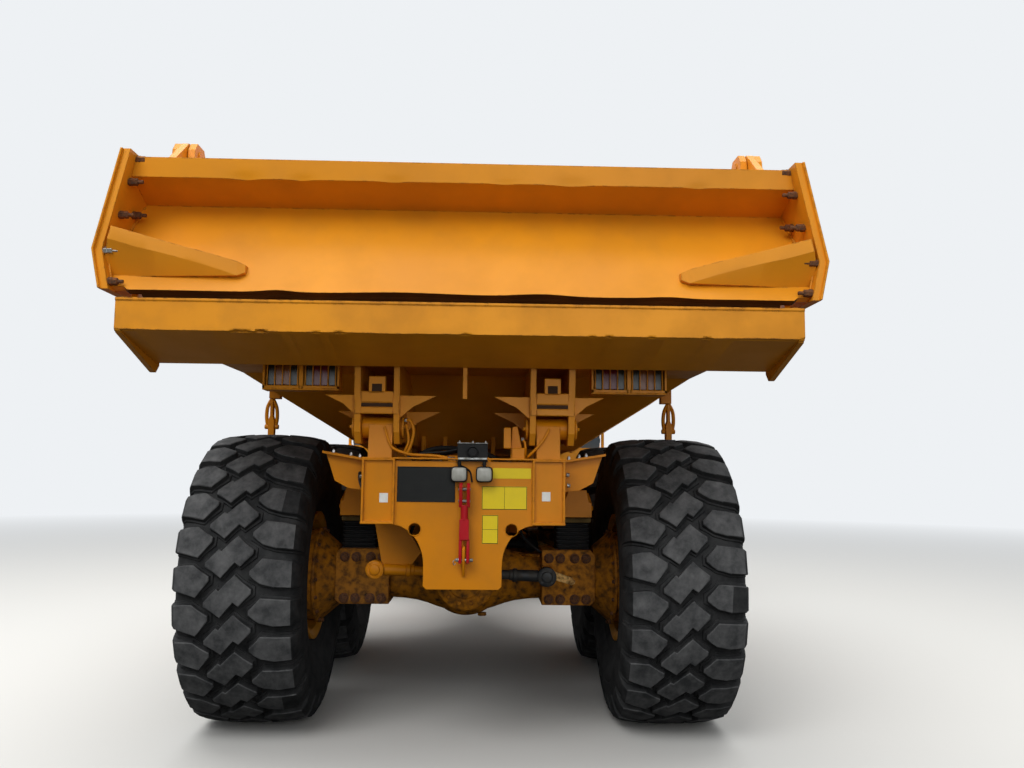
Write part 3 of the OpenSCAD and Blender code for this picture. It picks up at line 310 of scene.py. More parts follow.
class Shape:
    """Solids gathered into one piece, in metres from the rearmost axle."""

    def __init__(self):
        self.points, self.faces = [], []

    def add(self, points, faces):
        """Take in a mesh."""
        first = len(self.points)
        self.points += [tuple(p) for p in points]
        self.faces += [tuple(first + i for i in face) for face in faces]

    def rings(self, rings, caps=True):
        """A skin through rings of points, with its ends filled."""
        n = len(rings[0])
        points = [p for ring in rings for p in ring]
        faces = []
        for k in range(len(rings) - 1):
            for i in range(n):
                j = (i + 1) % n
                faces.append((k * n + i, k * n + j, (k + 1) * n + j, (k + 1) * n + i))
        if caps:
            faces.append(tuple(reversed(range(n))))
            faces.append(tuple((len(rings) - 1) * n + i for i in range(n)))
        self.add(points, faces)

    def plate(self, outline, low, high, axis, edge=0.002):
        """A plate with its outline across an axis and a small chamfer on both faces."""
        outline = anticlockwise(outline)
        low, high = sorted((low, high))
        levels = [(edge, low), (0, low + edge), (0, high - edge), (edge, high)]
        self.rings([[laid(axis, *p, depth) for p in inset(outline, distance)] for distance, depth in levels])

    def block(self, low, high, edge=0.002):
        """A block between two opposite corners, with chamfers on its top and bottom."""
        (x0, x1), (y0, y1), (z0, z1) = [sorted(pair) for pair in zip(low, high)]
        self.plate([(x0, y0), (x1, y0), (x1, y1), (x0, y1)], z0, z1, "z", edge)

    def rod(self, start_at, end_at, radius, sides=16, edge=0.0, end_radius=None):
        """A round or many-sided bar between two points, its ends chamfered."""
        p, q = Vector(start_at), Vector(end_at)
        along = (q - p).normalized()
        across = along.orthogonal().normalized()
        other = along.cross(across)
        end_radius = radius if end_radius is None else end_radius

        def ring(centre, r):
            return [centre + (across * cos(tau * i / sides) + other * sin(tau * i / sides)) * r
                    for i in range(sides)]
        levels = [(p, radius), (q, end_radius)]
        if edge:
            levels = [(p, radius - edge), (p + along * edge, radius), (q - along * edge, end_radius),
                      (q, end_radius - edge)]
        self.rings([ring(c, r) for c, r in levels])

    def turned(self, centre, outline, sides=48, axis="y", sign=1, hollow=False):
        """A turned part, from an outline of (radius, distance along the axis). A hollow one is a ring."""
        rings = []
        outline = outline + outline[:1] if hollow else outline
        for r, d in outline:
            ring = []
            for i in range(sides):
                u, v = r * cos(tau * i / sides), r * sin(tau * i / sides)
                ring.append(Vector(centre) + Vector(laid(axis, u, v, sign * d)))
            rings.append(ring)
        self.rings(rings, caps=not hollow)

    def bolt(self, place, way, across=0.036, head=0.022, thread=0.0, washer=True):
        """A hexagon nut on its washer, with the end of its bolt."""
        place, way = Vector(place), Vector(way).normalized()
        if washer:
            self.rod(place, place + way * 0.004, across * 0.72, 14)
        base = place + way * (0.004 if washer else 0.0)
        self.rod(base, base + way * head, across * 0.57, 6, across * 0.06)
        if thread:
            self.rod(base + way * head, base + way * (head + thread), across * 0.3, 10, across * 0.04)

    def bolt_circle(self, centre, radius, count, axis, way, *sizes, start=0.0, **settings):
        """Bolts spread round a centre, across an axis and pointing one way along it."""
        for i in range(count):
            a = tau * (i + start) / count
            place = Vector(centre) + Vector(laid(axis, radius * cos(a), radius * sin(a), 0))
            self.bolt(place, laid(axis, 0, 0, way), *sizes, **settings)

    def tube(self, path, radius, sides=12, steps=6):
        """A bent tube or hose through points, on one smooth curve."""
        pts = smooth_path(path, steps)
        along = [(b - a).normalized() for a, b in zip(pts, pts[1:])]
        along = [along[0]] + [(a + b).normalized() for a, b in zip(along, along[1:])] + [along[-1]]
        across = along[0].orthogonal().normalized()
        rings = []
        for p, t in zip(pts, along):
            across = (across - t * across.dot(t)).normalized()
            other = t.cross(across)
            rings.append([p + (across * cos(tau * i / sides) + other * sin(tau * i / sides)) * radius
                          for i in range(sides)])
        self.rings(rings)

    def piece(self, name, material, body, slot):
        """Make what was gathered into a piece."""
        mesh = bpy.data.meshes.new(name)
        mesh.from_pydata([(x + REAR_AXLE, y, z) for x, y, z in self.points], [], self.faces)
        return finished(name, mesh, material, body)


def finished(name, mesh, material, body, crease=32):
    """A mesh made into a piece on its body, with faces turned outward and edges sharp past an angle."""
    work = bmesh.new()
    work.from_mesh(mesh)
    bmesh.ops.recalc_face_normals(work, faces=work.faces)
    work.to_mesh(mesh)
    work.free()
    mesh.shade_smooth()
    mesh.set_sharp_from_angle(angle=radians(crease))
    mesh.materials.append(material)
    made = bpy.data.objects.new(name, mesh)
    bpy.context.scene.collection.objects.link(made)
    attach(made, body)
    return made


def smooth_path(path, steps):
    """Points on a Catmull-Rom curve through a path."""
    pts = [Vector(p) for p in path]
    pts = [pts[0] * 2 - pts[1]] + pts + [pts[-1] * 2 - pts[-2]]
    out = []
    for a, b, c, d in zip(pts, pts[1:], pts[2:], pts[3:]):
        for i in range(steps):
            t = i / steps
            out.append(0.5 * ((2 * b) + (c - a) * t + (2 * a - 5 * b + 4 * c - d) * t * t
                              + (3 * b - a - 3 * c + d) * t ** 3))
    return out + [pts[-2]]


def from_axle(point):
    """A point of the frame as x, y and z from the rearmost axle."""
    return point.x - REAR_AXLE, point.y, point.z


def worked_copy(cad_name, name, cuts, move, materials, body, second=None):
    """A copy of a CAD solid, cut along lines and moved point by point, such as plate with dents.
    The second material goes on the faces that second picks by their middle."""
    work = bmesh.new()
    work.from_mesh(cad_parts[cad_name].data)
    bmesh.ops.remove_doubles(work, verts=work.verts, dist=1e-5)
    bmesh.ops.dissolve_limit(work, angle_limit=radians(0.5), verts=work.verts, edges=work.edges)
    for axis, first, last, count, inside in cuts:
        normal = Vector([a == axis for a in "xyz"])
        for i in range(count + 1):
            place = first + (last - first) * i / count
            if axis == "x":
                place += REAR_AXLE
            faces = [f for f in work.faces if all(inside(*from_axle(v.co)) for v in f.verts)]
            edges = {e for f in faces for e in f.edges}
            verts = {v for f in faces for v in f.verts}
            bmesh.ops.bisect_plane(work, geom=list(verts) + list(edges) + faces, plane_co=normal * place,
                                   plane_no=normal, dist=1e-5)
    for v in work.verts:
        v.co += Vector(move(*from_axle(v.co)))
    bmesh.ops.triangulate(work, faces=[f for f in work.faces if len(f.verts) > 4])
    if second:
        for face in work.faces:
            face.material_index = int(second(*from_axle(face.calc_center_median())))
    mesh = bpy.data.meshes.new(name)
    work.to_mesh(mesh)
    work.free()
    stored = mesh.attributes.get("custom_normal")
    if stored:
        mesh.attributes.remove(stored)
    made = finished(name, mesh, materials[0], body, crease=14)
    for material in materials[1:]:
        mesh.materials.append(material)
    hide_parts(cad_name)
    return made


# Tyres

LUGS = 26
# Distance across the tread from its middle, with the offset and radius at the top and at the foot of a lug
TREAD_LINE = np.array([
    (0.000, 0.000, 0.935, 0.000, 0.889), (0.120, 0.120, 0.934, 0.120, 0.888),
    (0.200, 0.200, 0.930, 0.200, 0.884), (0.270, 0.270, 0.922, 0.268, 0.874),
    (0.341, 0.332, 0.904, 0.322, 0.852), (0.385, 0.354, 0.868, 0.344, 0.822),
    (0.430, 0.364, 0.826, 0.358, 0.790), (0.480, 0.371, 0.780, 0.368, 0.760)])
SIDEWALL = [(0.372, 0.735), (0.375, 0.690), (0.371, 0.684), (0.374, 0.676), (0.373, 0.640), (0.366, 0.600),
            (0.352, 0.555), (0.336, 0.512), (0.336, 0.500), (0.322, 0.478), (0.318, 0.452), (0.300, 0.424),
            (0.293, 0.421), (0.293, 0.390)]
# The road wears only what lies outside this radius.
TREAD_FLOOR_R = 0.888
# Rings up a lug, from below its foot to its top: the depth, and how far its sides stand in there
LUG_RINGS = ((1.12, -0.024), (0.76, -0.021), (0.72, -0.009), (0.10, -0.006), (0.0, -0.001))
# A lug's upper and lower edge, from left to right as seen from behind: across, and along the tread
LEFT_LUG = ([(-0.480, 0.058), (-0.430, 0.062), (-0.385, 0.066), (-0.341, 0.071), (-0.280, 0.079),
             (-0.225, 0.080), (-0.180, 0.048), (-0.137, 0.018)],
            [(-0.480, -0.046), (-0.430, -0.050), (-0.385, -0.054), (-0.341, -0.060), (-0.280, -0.072),
             (-0.203, -0.093), (-0.170, -0.050), (-0.137, 0.002)])
RIGHT_LUG = ([(0.104, 0.050), (0.130, 0.082), (0.165, 0.122), (0.250, 0.116), (0.341, 0.108), (0.385, 0.104),
              (0.430, 0.100), (0.480, 0.096)],
             [(0.104, 0.036), (0.128, 0.010), (0.160, -0.012), (0.242, -0.033), (0.341, -0.036),
              (0.385, -0.034), (0.430, -0.032), (0.480, -0.028)])
MIDDLE_LUG = ([(-0.151, -0.130), (-0.086, -0.053), (-0.071, -0.064), (-0.020, -0.008), (0.016, 0.027),
               (0.060, -0.014), (0.107, -0.054)],
              [(-0.151, -0.144), (-0.105, -0.176), (-0.063, -0.207), (-0.020, -0.156), (0.011, -0.119),
               (0.042, -0.141), (0.107, -0.066)])


def tread_point(across, along, depth):
    """A point of the tread: depth is 0 on top of the lugs and 1 at their foot."""
    s = abs(across)
    top = [np.interp(s, TREAD_LINE[:, 0], TREAD_LINE[:, k]) for k in (1, 2)]
    foot = [np.interp(s, TREAD_LINE[:, 0], TREAD_LINE[:, k]) for k in (3, 4)]
    offset, radius = [t + (f - t) * depth for t, f in zip(top, foot)]
    angle = along / TYRE_R
    return (-radius * cos(angle), -offset * (1 if across > 0 else -1), radius * sin(angle))


def lug(shape, edges, along):
    """One lug with a ledge round its foot, drafted sides and a softened top edge."""
    upper, lower = edges
    first, last = upper[0][0], upper[-1][0]

    def ring(depth, shrink):
        out = []
        for chain, sign in ((upper, -1), (lower[::-1], 1)):
            for s, u in chain:
                middle = sum(np.interp(s, *zip(*c)) for c in (upper, lower)) / 2
                half = max(abs(u - middle) - shrink, 0.002)
                end = shrink if s == first else (-shrink if s == last else 0.0)
                out.append(tread_point(s + end, along + middle - sign * half, depth))
        return out
    levels = [ring(depth, shrink) for depth, shrink in LUG_RINGS]
    n, k = len(levels[0]), len(upper)
    points = [p for level in levels for p in level]
    faces = [(m * n + i, m * n + (i + 1) % n, (m + 1) * n + (i + 1) % n, (m + 1) * n + i)
             for m in range(len(levels) - 1) for i in range(n)]
    top = (len(levels) - 1) * n
    faces += [(top + i, top + i + 1, top + n - 2 - i, top + n - 1 - i) for i in range(k - 1)]
    shape.add(points, faces)


def tyre_shape():
    """A radial earthmover tyre: a smooth carcass, two rows of shoulder lugs and a stepped middle row."""
    shape = Shape()
    pitch = tau * TYRE_R / LUGS
    for i in range(LUGS):
        for edges in (LEFT_LUG, RIGHT_LUG, MIDDLE_LUG):
            lug(shape, edges, i * pitch)
    half = [(row[3], row[4]) for row in TREAD_LINE] + SIDEWALL
    line = [(-w, r) for w, r in half[::-1]] + half[1:]
    sides = LUGS * 5
    shape.rings([[(-r * cos(tau * i / sides), w, r * sin(tau * i / sides)) for i in range(sides)]
                 for w, r in line + [line[0]]], caps=False)
    return shape


WHEELS = {"rl": (0.0, 1), "rr": (0.0, -1), "ml": (MIDDLE_AXLE, 1), "mr": (MIDDLE_AXLE, -1),
          "fl": (FRONT_AXLE, 1), "fr": (FRONT_AXLE, -1)}
plain_tyre = tyre_shape()
for wheel, (x, side) in WHEELS.items():
    tyre = Shape()
    turn = Matrix.Rotation(0.31 * (x + side), 3, "Y")
    tyre.add([Vector((x, side * WHEEL_Y, TYRE_R)) + turn @ Vector(p) for p in plain_tyre.points],
             plain_tyre.faces)
    made = tyre.piece("tyre_tread_" + wheel, TYRE_RUBBER, "wheel_" + wheel, "tyre_rubber")
    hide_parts("tyre_" + wheel)
    # the road has worn the tops of the lugs lighter
    made.data.materials.append(WORN_RUBBER)
    for face in made.data.polygons:
        out = np.hypot(face.center.x - REAR_AXLE - x, face.center.z - TYRE_R)
        across = abs(face.center.y - side * WHEEL_Y)
        top = np.interp(across, TREAD_LINE[:, 1], TREAD_LINE[:, 2])
        face.material_index = int(out > max(top - 0.005, TREAD_FLOOR_R))


# Wheels

HUB_COVER = [(0.001, 0.212), (0.060, 0.212), (0.070, 0.206), (0.128, 0.204), (0.142, 0.196), (0.150, 0.168),
             (0.160, 0.166), (0.160, 0.150)]
# The ring that holds the rim's loose flange, and the valve's bent stem
LOCK_RING = [(0.236, 0.046), (0.262, 0.046), (0.266, 0.050), (0.266, 0.060), (0.262, 0.064), (0.236, 0.064)]
VALVE = [(0.290, 0.060), (0.318, 0.075), (0.332, 0.100)]
VALVE_TURN = 0.9
for wheel, (x, side) in WHEELS.items():
    centre = Vector((x, side * WHEEL_Y, TYRE_R))
    hub = Shape()
    hub.turned(centre, HUB_COVER, 40, "y", side)
    hub.turned(centre, LOCK_RING, 48, "y", side, hollow=True)
    # three plugs in the hub's cover
    for i in range(3):
        a = tau * i / 3 + 0.4
        hub.rod(centre + Vector((0.1 * cos(a), side * 0.2, 0.1 * sin(a))),
                centre + Vector((0.1 * cos(a), side * 0.216, 0.1 * sin(a))), 0.014, 6, 0.002)
    hub.piece("hub_cover_" + wheel, RIM_ENAMEL, "wheel_" + wheel, "rim_paint")
    nuts = Shape()
    on_rim, on_hub = centre + Vector((0, side * 0.036, 0)), centre + Vector((0, side * 0.112, 0))
    nuts.bolt_circle(on_rim, 0.282, 16, "y", side, 0.034, 0.028, 0.022, start=0.5)
    nuts.bolt_circle(on_hub, 0.200, 12, "y", side, 0.026, 0.016)
    nuts.tube([centre + Vector((r * cos(VALVE_TURN), side * d, r * sin(VALVE_TURN))) for r, d in VALVE],
              0.006, 8)
    nuts.piece("wheel_nuts_" + wheel, RUSTY_BOLT, "wheel_" + wheel, "dark_steel")


# Dump body and tailgate

def ripple(y, z, size):
    """A smooth unevenness from -1 to 1, the same on each run."""
    return noise.noise(Vector((y / size, z / size, 3.7)))


def dent(y, z, at_y, at_z, size):
    """A hollow round a point, narrower up and down than along."""
    return exp(-((y - at_y) ** 2 + ((z - at_z) * 2.5) ** 2) / (size * size))


# Dents of the channel as (y, z, size, depth), and of the gate's lower edge as (y, size, depth)
GATE_DENTS = [(1.15, 3.136, 0.07, 0.009), (0.86, 3.136, 0.05, 0.007), (0.38, 3.136, 0.06, 0.006),
              (-0.20, 3.136, 0.05, 0.006), (-0.55, 3.136, 0.09, 0.008), (-1.22, 3.136, 0.05, 0.007)]
LOW_DENTS = [(0.95, 0.10, 0.012), (0.30, 0.22, 0.010), (-0.40, 0.16, 0.012), (-1.05, 0.12, 0.009)]
LIP_GROOVE = 2.464
# The gate's panel leans: its face stands this much further forward for each metre up.
PANEL_LEAN = 0.605
PANEL_FOOT_X, PANEL_FOOT_Z = -1.64, 2.548
# The corner wedges: the height of their lower edge, the y of their narrow end, and their width
WEDGE_FOOT_Z, WEDGE_TIP_Y, WEDGE_SPAN = 2.60, 1.12, 0.62


def gate_bends(x, y, z):
    """How knocks have moved the gate's plates: the channel's edge, the panel and the lower edge."""
    push = sum(depth * dent(y, z, a, b, size) for a, b, size, depth in GATE_DENTS if x < -1.55 and z > 3.0)
    low = 0.0
    if z < WEDGE_FOOT_Z and x < -1.585:
        low = sum(depth * dent(y, 0, a, 0, size) for a, size, depth in LOW_DENTS) + 0.004 * ripple(y, 0, 0.35)
        low -= 0.020 if abs(y) < 1.70 else 0.0
    if WEDGE_FOOT_Z < z < 2.96 and abs(y) > 1.10 and x < -1.33:
        # the corner wedges sit lower than their plates, and stand out further at their wide ends
        share = (abs(y) - WEDGE_TIP_Y) / WEDGE_SPAN
        low = -0.018 - 0.050 * share * min(1.0, (z - WEDGE_FOOT_Z) / 0.2)
        if x < PANEL_FOOT_X - 0.005 + PANEL_LEAN * (z - PANEL_FOOT_Z):
            return -0.022 * max(0.0, share), 0.0, low
    return push + PANEL_LEAN * low, 0.0, low - push * 0.6


def lip_bends(x, y, z):
    """Nicks and waves along the lip's lower edge, the slack in its rear plate and the bar along its top."""
    if x > -1.68:
        return 0.0, 0.0, 0.0
    nick = max(0.0, ripple(y, 1.0, 0.045) - 0.30) * 0.025 if z < 2.325 else 0.0
    wave = abs(0.003 * ripple(y, z, 0.4)) + (0.005 if z < LIP_GROOVE else 0.0)
    return wave + nick, 0.0, nick + (0.003 * ripple(y, 5.0, 0.3) if z < 2.33 else 0.0)


# the gate's faces below z 2.535 take the dark enamel: painted shade in the dark gap under the gate
worked_copy("tailgate", "tailgate_plates",
            [("y", -1.82, 1.82, 150, lambda x, y, z: True),
             ("z", 3.142, 3.222, 6, lambda x, y, z: z > 3.1)],
            gate_bends, [BODY_ENAMEL, SHADE_ENAMEL], "tailgate",
            lambda x, y, z: z < 2.535)
worked_copy("dump_body", "dump_body_plates",
            [("x", -1.688, -1.676, 1, lambda x, y, z: x < -1.14 and z < 2.6),
             ("y", -1.73, 1.73, 160, lambda x, y, z: x < -1.14 and z < 2.6),
             ("z", 2.328, 2.428, 4, lambda x, y, z: x < -1.6 and z < 2.6),
             ("z", LIP_GROOVE - 0.003, LIP_GROOVE + 0.003, 1, lambda x, y, z: x < -1.6 and z < 2.6)],
            lip_bends, [BODY_ENAMEL, LIP_ENAMEL], "dump_body",
            lambda x, y, z: x < -1.64 and z < 2.50)


def gate_edge(z):
    """Half the gate's width at a height."""
    return float(np.interp(z, [2.525, 2.726, 3.251], [1.783, 1.824, 1.707]))


GATE_BOLTS = [(3.226, -1.585), (3.102, -1.60), (2.927, -1.60), (2.966, -1.46), (2.725, -1.655),
              (2.567, -1.655)]
BRIGHT_BOLT = 4
# A bolt through a gate end, as (from, to, radius, sides, chamfer), measured outward from the gate's edge
BOLT_STEPS = [(0.002, -0.022, 0.021, 6, 0.002), (-0.020, -0.046, 0.019, 6, 0.002),
              (-0.044, -0.074, 0.010, 10, 0.002), (0.044, 0.0455, 0.018, 6, 0.0005)]


def on_panel(z):
    """How far back the gate's panel stands at a height."""
    return float(np.interp(z, [PANEL_FOOT_Z, 3.060], [PANEL_FOOT_X, -1.330]))


side_bolts, bright_bolts, welds = Shape(), Shape(), Shape()
for side in (1, -1):
    for i, (z, x) in enumerate(GATE_BOLTS):
        shape = bright_bolts if i == BRIGHT_BOLT and side > 0 else side_bolts
        y = side * gate_edge(z)
        for near, far, radius, sides, edge in BOLT_STEPS:
            shape.rod((x, y + side * near, z), (x, y + side * far, z), radius, sides, edge)
    welds.tube([(-1.625, side * (gate_edge(z) - 0.004), z) for z in np.linspace(2.55, 2.72, 9)], 0.007, 8, 4)
    welds.tube([(on_panel(z) - 0.004, side * (gate_edge(z) - 0.004), z) for z in np.linspace(2.74, 3.04, 9)],
               0.007, 8, 4)
side_bolts.piece("gate_bolts_rusted", RUSTY_BOLT, "tailgate", "dark_steel")
bright_bolts.piece("gate_bolt_zinc", ZINC_BOLT, "tailgate", "dark_steel")
welds.piece("gate_weld_beads", BODY_ENAMEL, "tailgate", "body_paint")

# the outer plate of each gate end, a second thickness with its edge inside the first
end_plates = Shape()
for side in (1, -1):
    outline = [(side * 1.753, 3.250), (side * 1.8695, 2.726), (side * 1.8285, 2.526)]
    outline = outline + [(side * (abs(y) - 0.010), z) for y, z in outline[::-1]]
    end_plates.plate(outline, -1.700, -1.35, "x", 0.003)
end_plates.piece("gate_end_plates", BODY_ENAMEL, "tailgate", "body_paint")

# tail lamps: a tray with bars over two groups of four lenses
tray = Shape()
lenses = {"tail_lenses_smoked": (Shape(), SMOKED_LENS), "tail_lenses_red": (Shape(), RED_LENS),
          "tail_lenses_amber": (Shape(), AMBER_LENS)}
ORDER = ["smoked", "amber", "amber", "smoked", "smoked", "red", "red", "smoked"]
TRAY_BACK, TRAY_FRONT, TRAY_IN, TRAY_OUT = -1.000, -0.880, 0.730, 1.170
TRAY_FLOOR, TRAY_TOP, GROUP_PITCH, LENS_PITCH = 2.098, 2.240, 0.218, 0.0435
for side in (1, -1):
    inner, outer = side * TRAY_IN, side * TRAY_OUT
    tray.block((TRAY_BACK, inner, 2.090), (TRAY_FRONT, outer, TRAY_FLOOR))
    tray.block((-0.905, side * 0.735, TRAY_FLOOR), (TRAY_FRONT, side * 1.165, TRAY_TOP))
    tray.block((TRAY_BACK, inner, TRAY_FLOOR), (-0.992, outer, 2.116))
    for y in (TRAY_IN, 1.158):
        tray.block((TRAY_BACK, side * y, TRAY_FLOOR), (-0.905, side * (y + 0.012), TRAY_TOP))
    tray.block((TRAY_BACK, side * 0.938, TRAY_FLOOR), (-0.990, side * 0.962, TRAY_TOP))
    for i in range(2):
        for k in range(5):
            y = side * (0.752 + i * GROUP_PITCH + k * LENS_PITCH)
            tray.rod((-0.996, y, 2.112), (-0.996, y, 2.238), 0.0035, 8)
        for k in range(4):
            y = side * (0.774 + i * GROUP_PITCH + k * LENS_PITCH)
            name = "tail_lenses_" + ORDER[(1 - i) * 4 + k if side < 0 else (1 - i) * 4 + 3 - k]
            lenses[name][0].block((-0.984, y - 0.018, 2.118), (-0.906, y + 0.018, 2.236), 0.004)
    tray.bolt((-0.991, side * 0.95, 2.106), (-1, 0, 0), 0.014, 0.008)
tail_tray = tray.piece("tail_lamp_tray", BODY_ENAMEL, "dump_body", "lamp_lens")
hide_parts("tail_lamps")
for name, (shape, material) in lenses.items():
    shape.piece(name, material, "dump_body", "lamp_lens")

# shackles that hang by the body's corners, each on a bent lug
links, loops = Shape(), Shape()
for side in (1, -1):
    y = side * 1.600
    links.plate([(y - 0.024, 1.905), (y + 0.024, 1.905), (y + 0.026, 2.02), (y + 0.012, 2.06),
                 (y + 0.012, 2.235), (y - 0.012, 2.235), (y - 0.012, 2.06), (y - 0.026, 2.02)],
                1.010, 1.070, "x", 0.003)
    links.block((1.0, side * 1.535, 2.20), (1.08, side * 1.62, 2.36))
    for sway in (-0.030, 0.030):
        loops.tube([(1.04, y + sway, 1.97), (1.035, y + sway * 1.4, 2.05), (1.03, y + sway * 1.2, 2.13),
                    (1.03, y + sway * 0.4, 2.185), (1.035, y, 2.20)], 0.015, 10)
    loops.rod((1.04, y - 0.055, 1.975), (1.04, y + 0.055, 1.975), 0.020, 12, 0.004)
hung = links.piece("gate_link_lugs", FRAME_ENAMEL, "dump_body", "body_paint")
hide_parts("gate_links")
loops.piece("gate_link_shackles", FRAME_ENAMEL, "dump_body", "body_paint")

# hinge of the body: pin ends with keepers, cross bars and the rests between the lugs, with dark blocks of
# painted shade in the gap between the bars and in the rests' slots
hinge, gap_shades = Shape(), Shape()
for side in (1, -1):
    for y, out in ((0.362, -1), (0.628, 1)):
        end = side * (y + 0.014 * out)
        hinge.rod((HINGE_X, side * y, HINGE_Z), (HINGE_X, end, HINGE_Z), 0.062, 24, 0.004)
        for x in (HINGE_X - 0.035, HINGE_X + 0.035):
            hinge.bolt((x, end, HINGE_Z), (0, side * out, 0), 0.018, 0.010)
    inner, outer, middle = side * 0.405, side * 0.582, side * 0.493
    hinge.block((-1.136, inner, 1.950), (-1.120, outer, 1.988), 0.004)
    hinge.block((-1.132, inner, 2.014), (-1.120, outer, 2.078), 0.004)
    gap_shades.block((-1.1275, inner, 1.990), (-1.1240, outer, 2.012), 0.001)
    hinge.plate([(middle - 0.046, 2.078), (middle - 0.040, 2.072), (middle + 0.040, 2.072),
                 (middle + 0.046, 2.078), (middle + 0.046, 2.160), (middle - 0.046, 2.160)],
                -1.150, -1.095, "x", 0.003)
    gap_shades.block((-1.1515, middle - 0.028, 2.074), (-1.1490, middle + 0.028, 2.118), 0.001)
hinge.piece("body_hinge_pins", BODY_ENAMEL, "dump_body", "body_paint")
gap_shades.piece("body_hinge_gap_shades", SHADE_ENAMEL, "dump_body", "body_paint")

# welds of the ribs and the bead along the top of the body, whose sides lean in towards the floor
SIDE_LEAN = 0.0286
body_trim = Shape()
for side in (1, -1):
    body_trim.tube([(x, side * 1.773, 3.132) for x in (-1.14, 1.2, 3.80)], 0.010, 8, 3)
    for x in (-0.35, 0.40, 1.42, 2.42, 3.40):
        body_trim.tube([(x, side * (1.723 - (3.05 - z) * SIDE_LEAN), z) for z in np.linspace(2.50, 3.05, 6)],
                       0.006, 6, 2)
body_trim.piece("body_weld_beads", BODY_ENAMEL, "dump_body", "body_paint")


# Rear plate of the frame

def rounded_cover(shape, centre, half_y, half_z, x0, x1):
    """A rounded square lens or cover, crowned towards -x."""
    rings, crown = [], 0.006
    for x, grow in ((x0, 1.0), (x1 + 0.006, 1.0), (x1 + 0.002, 0.96), (x1, 0.90), (x1 - crown * 0.6, 0.6),
                    (x1 - crown, 0.2)):
        ring = []
        for i in range(32):
            a = tau * i / 32
            k = (abs(cos(a)) ** 5 + abs(sin(a)) ** 5) ** -0.2
            ring.append((x, centre[0] + half_y * grow * k * cos(a), centre[1] + half_z * grow * k * sin(a)))
        rings.append(ring)
    shape.rings(rings)


lamp_bodies, lamp_glass = Shape(), Shape()
for y in (0.026, -0.114):
    rounded_cover(lamp_bodies, (y, 1.618), 0.047, 0.044, PLATE_X - 0.014, PLATE_X - 0.062)
    rounded_cover(lamp_glass, (y, 1.618), 0.041, 0.038, PLATE_X - 0.050, PLATE_X - 0.068)
    lamp_bodies.rod((PLATE_X - 0.034, y, 1.655), (PLATE_X - 0.034, y, 1.690), 0.009, 10)
    lamp_bodies.bolt((PLATE_X - 0.034, y, 1.672), (0, 0, 1), 0.018, 0.010)
    lamp_bodies.rod((PLATE_X - 0.015, y + 0.01, 1.61), (PLATE_X + 0.001, y + 0.01, 1.61), 0.008, 10)
# the shelf that carries them, the socket's box with its round cap, and a cable
SOCKET_CAP = [(0.030, 0.0), (0.034, 0.004), (0.034, 0.016), (0.028, 0.018), (0.024, 0.008), (0.0, 0.008)]
lamp_bodies.block((PLATE_X - 0.045, -0.135, 1.690), (PLATE_X, 0.045, 1.6955), 0.001)
lamp_bodies.block((PLATE_X - 0.020, -0.132, 1.6955), (PLATE_X + 0.036, 0.038, 1.790), 0.004)
lamp_bodies.turned((PLATE_X - 0.020, -0.047, 1.744), SOCKET_CAP, 24, "x", -1)
lamp_bodies.tube([(PLATE_X - 0.034, 0.026, 1.668), (PLATE_X - 0.02, -0.01, 1.652),
                  (PLATE_X - 0.006, -0.035, 1.63), (PLATE_X - 0.006, -0.046, 1.575)], 0.005, 8)
made = lamp_bodies.piece("work_lamp_bodies", BLACK_PLASTIC, "rear_frame", "black_plastic")
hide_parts("work_lamps")
lamp_glass.piece("work_lamp_lenses", CLEAR_LENS, "rear_frame", "head_lens")

shelf = Shape()
shelf.block((PLATE_X - 0.022, -0.134, 1.790), (PLATE_X + 0.040, 0.040, 1.7945), 0.001)
shelf.plate([(-0.128, 1.699), (0.034, 1.699), (0.034, 1.712), (-0.128, 1.712)], PLATE_X - 0.030,
            PLATE_X - 0.021, "x")
for y in (-0.12, -0.047, 0.027):
    shelf.bolt((PLATE_X, y, 1.7945), (0, 0, 1), 0.010, 0.005, 0.003)
shelf.piece("socket_shelf", GALVANISED, "rear_frame", "dark_steel")

# the number plate, blank, with a raised border
number = Shape()
number.plate([(0.051, 1.462), (0.369, 1.462), (0.372, 1.465), (0.372, 1.655), (0.369, 1.658), (0.051, 1.658),
              (0.048, 1.655), (0.048, 1.465)], PLATE_X - 0.003, PLATE_X - 0.0005, "x", 0.0008)
for y0, y1, z0, z1 in ((0.048, 0.372, 1.462, 1.467), (0.048, 0.372, 1.653, 1.658),
                       (0.048, 0.053, 1.467, 1.653), (0.367, 0.372, 1.467, 1.653)):
    number.plate([(y0, z0), (y1, z0), (y1, z1), (y0, z1)], PLATE_X - 0.0042, PLATE_X - 0.003, "x", 0.0004)
made = number.piece("number_plate_blank", PLATE_BLACK, "rear_frame", "black_plastic")
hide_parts("number_plate")

labels, lines, stickers = Shape(), Shape(), Shape()


def label(y0, y1, z0, z1, divider=None):
    """A blank label: a film, and where it has a divider also a printed border."""
    labels.plate([(y0, z0), (y1, z0), (y1, z1), (y0, z1)], PLATE_X - 0.0012, PLATE_X - 0.0001, "x", 0.0003)
    if divider:
        margin, width = 0.0012, 0.0028
        a, b, c, d = y0 + margin, y1 - margin, z0 + margin, z1 - margin
        for left, right, low, high in ((a, b, c, c + width), (a, b, d - width, d), (a, a + width, c, d),
                                       (b - width, b, c, d), divider):
            lines.plate([(left, low), (right, low), (right, high), (left, high)], PLATE_X - 0.0018,
                        PLATE_X - 0.0010, "x", 0.0001)


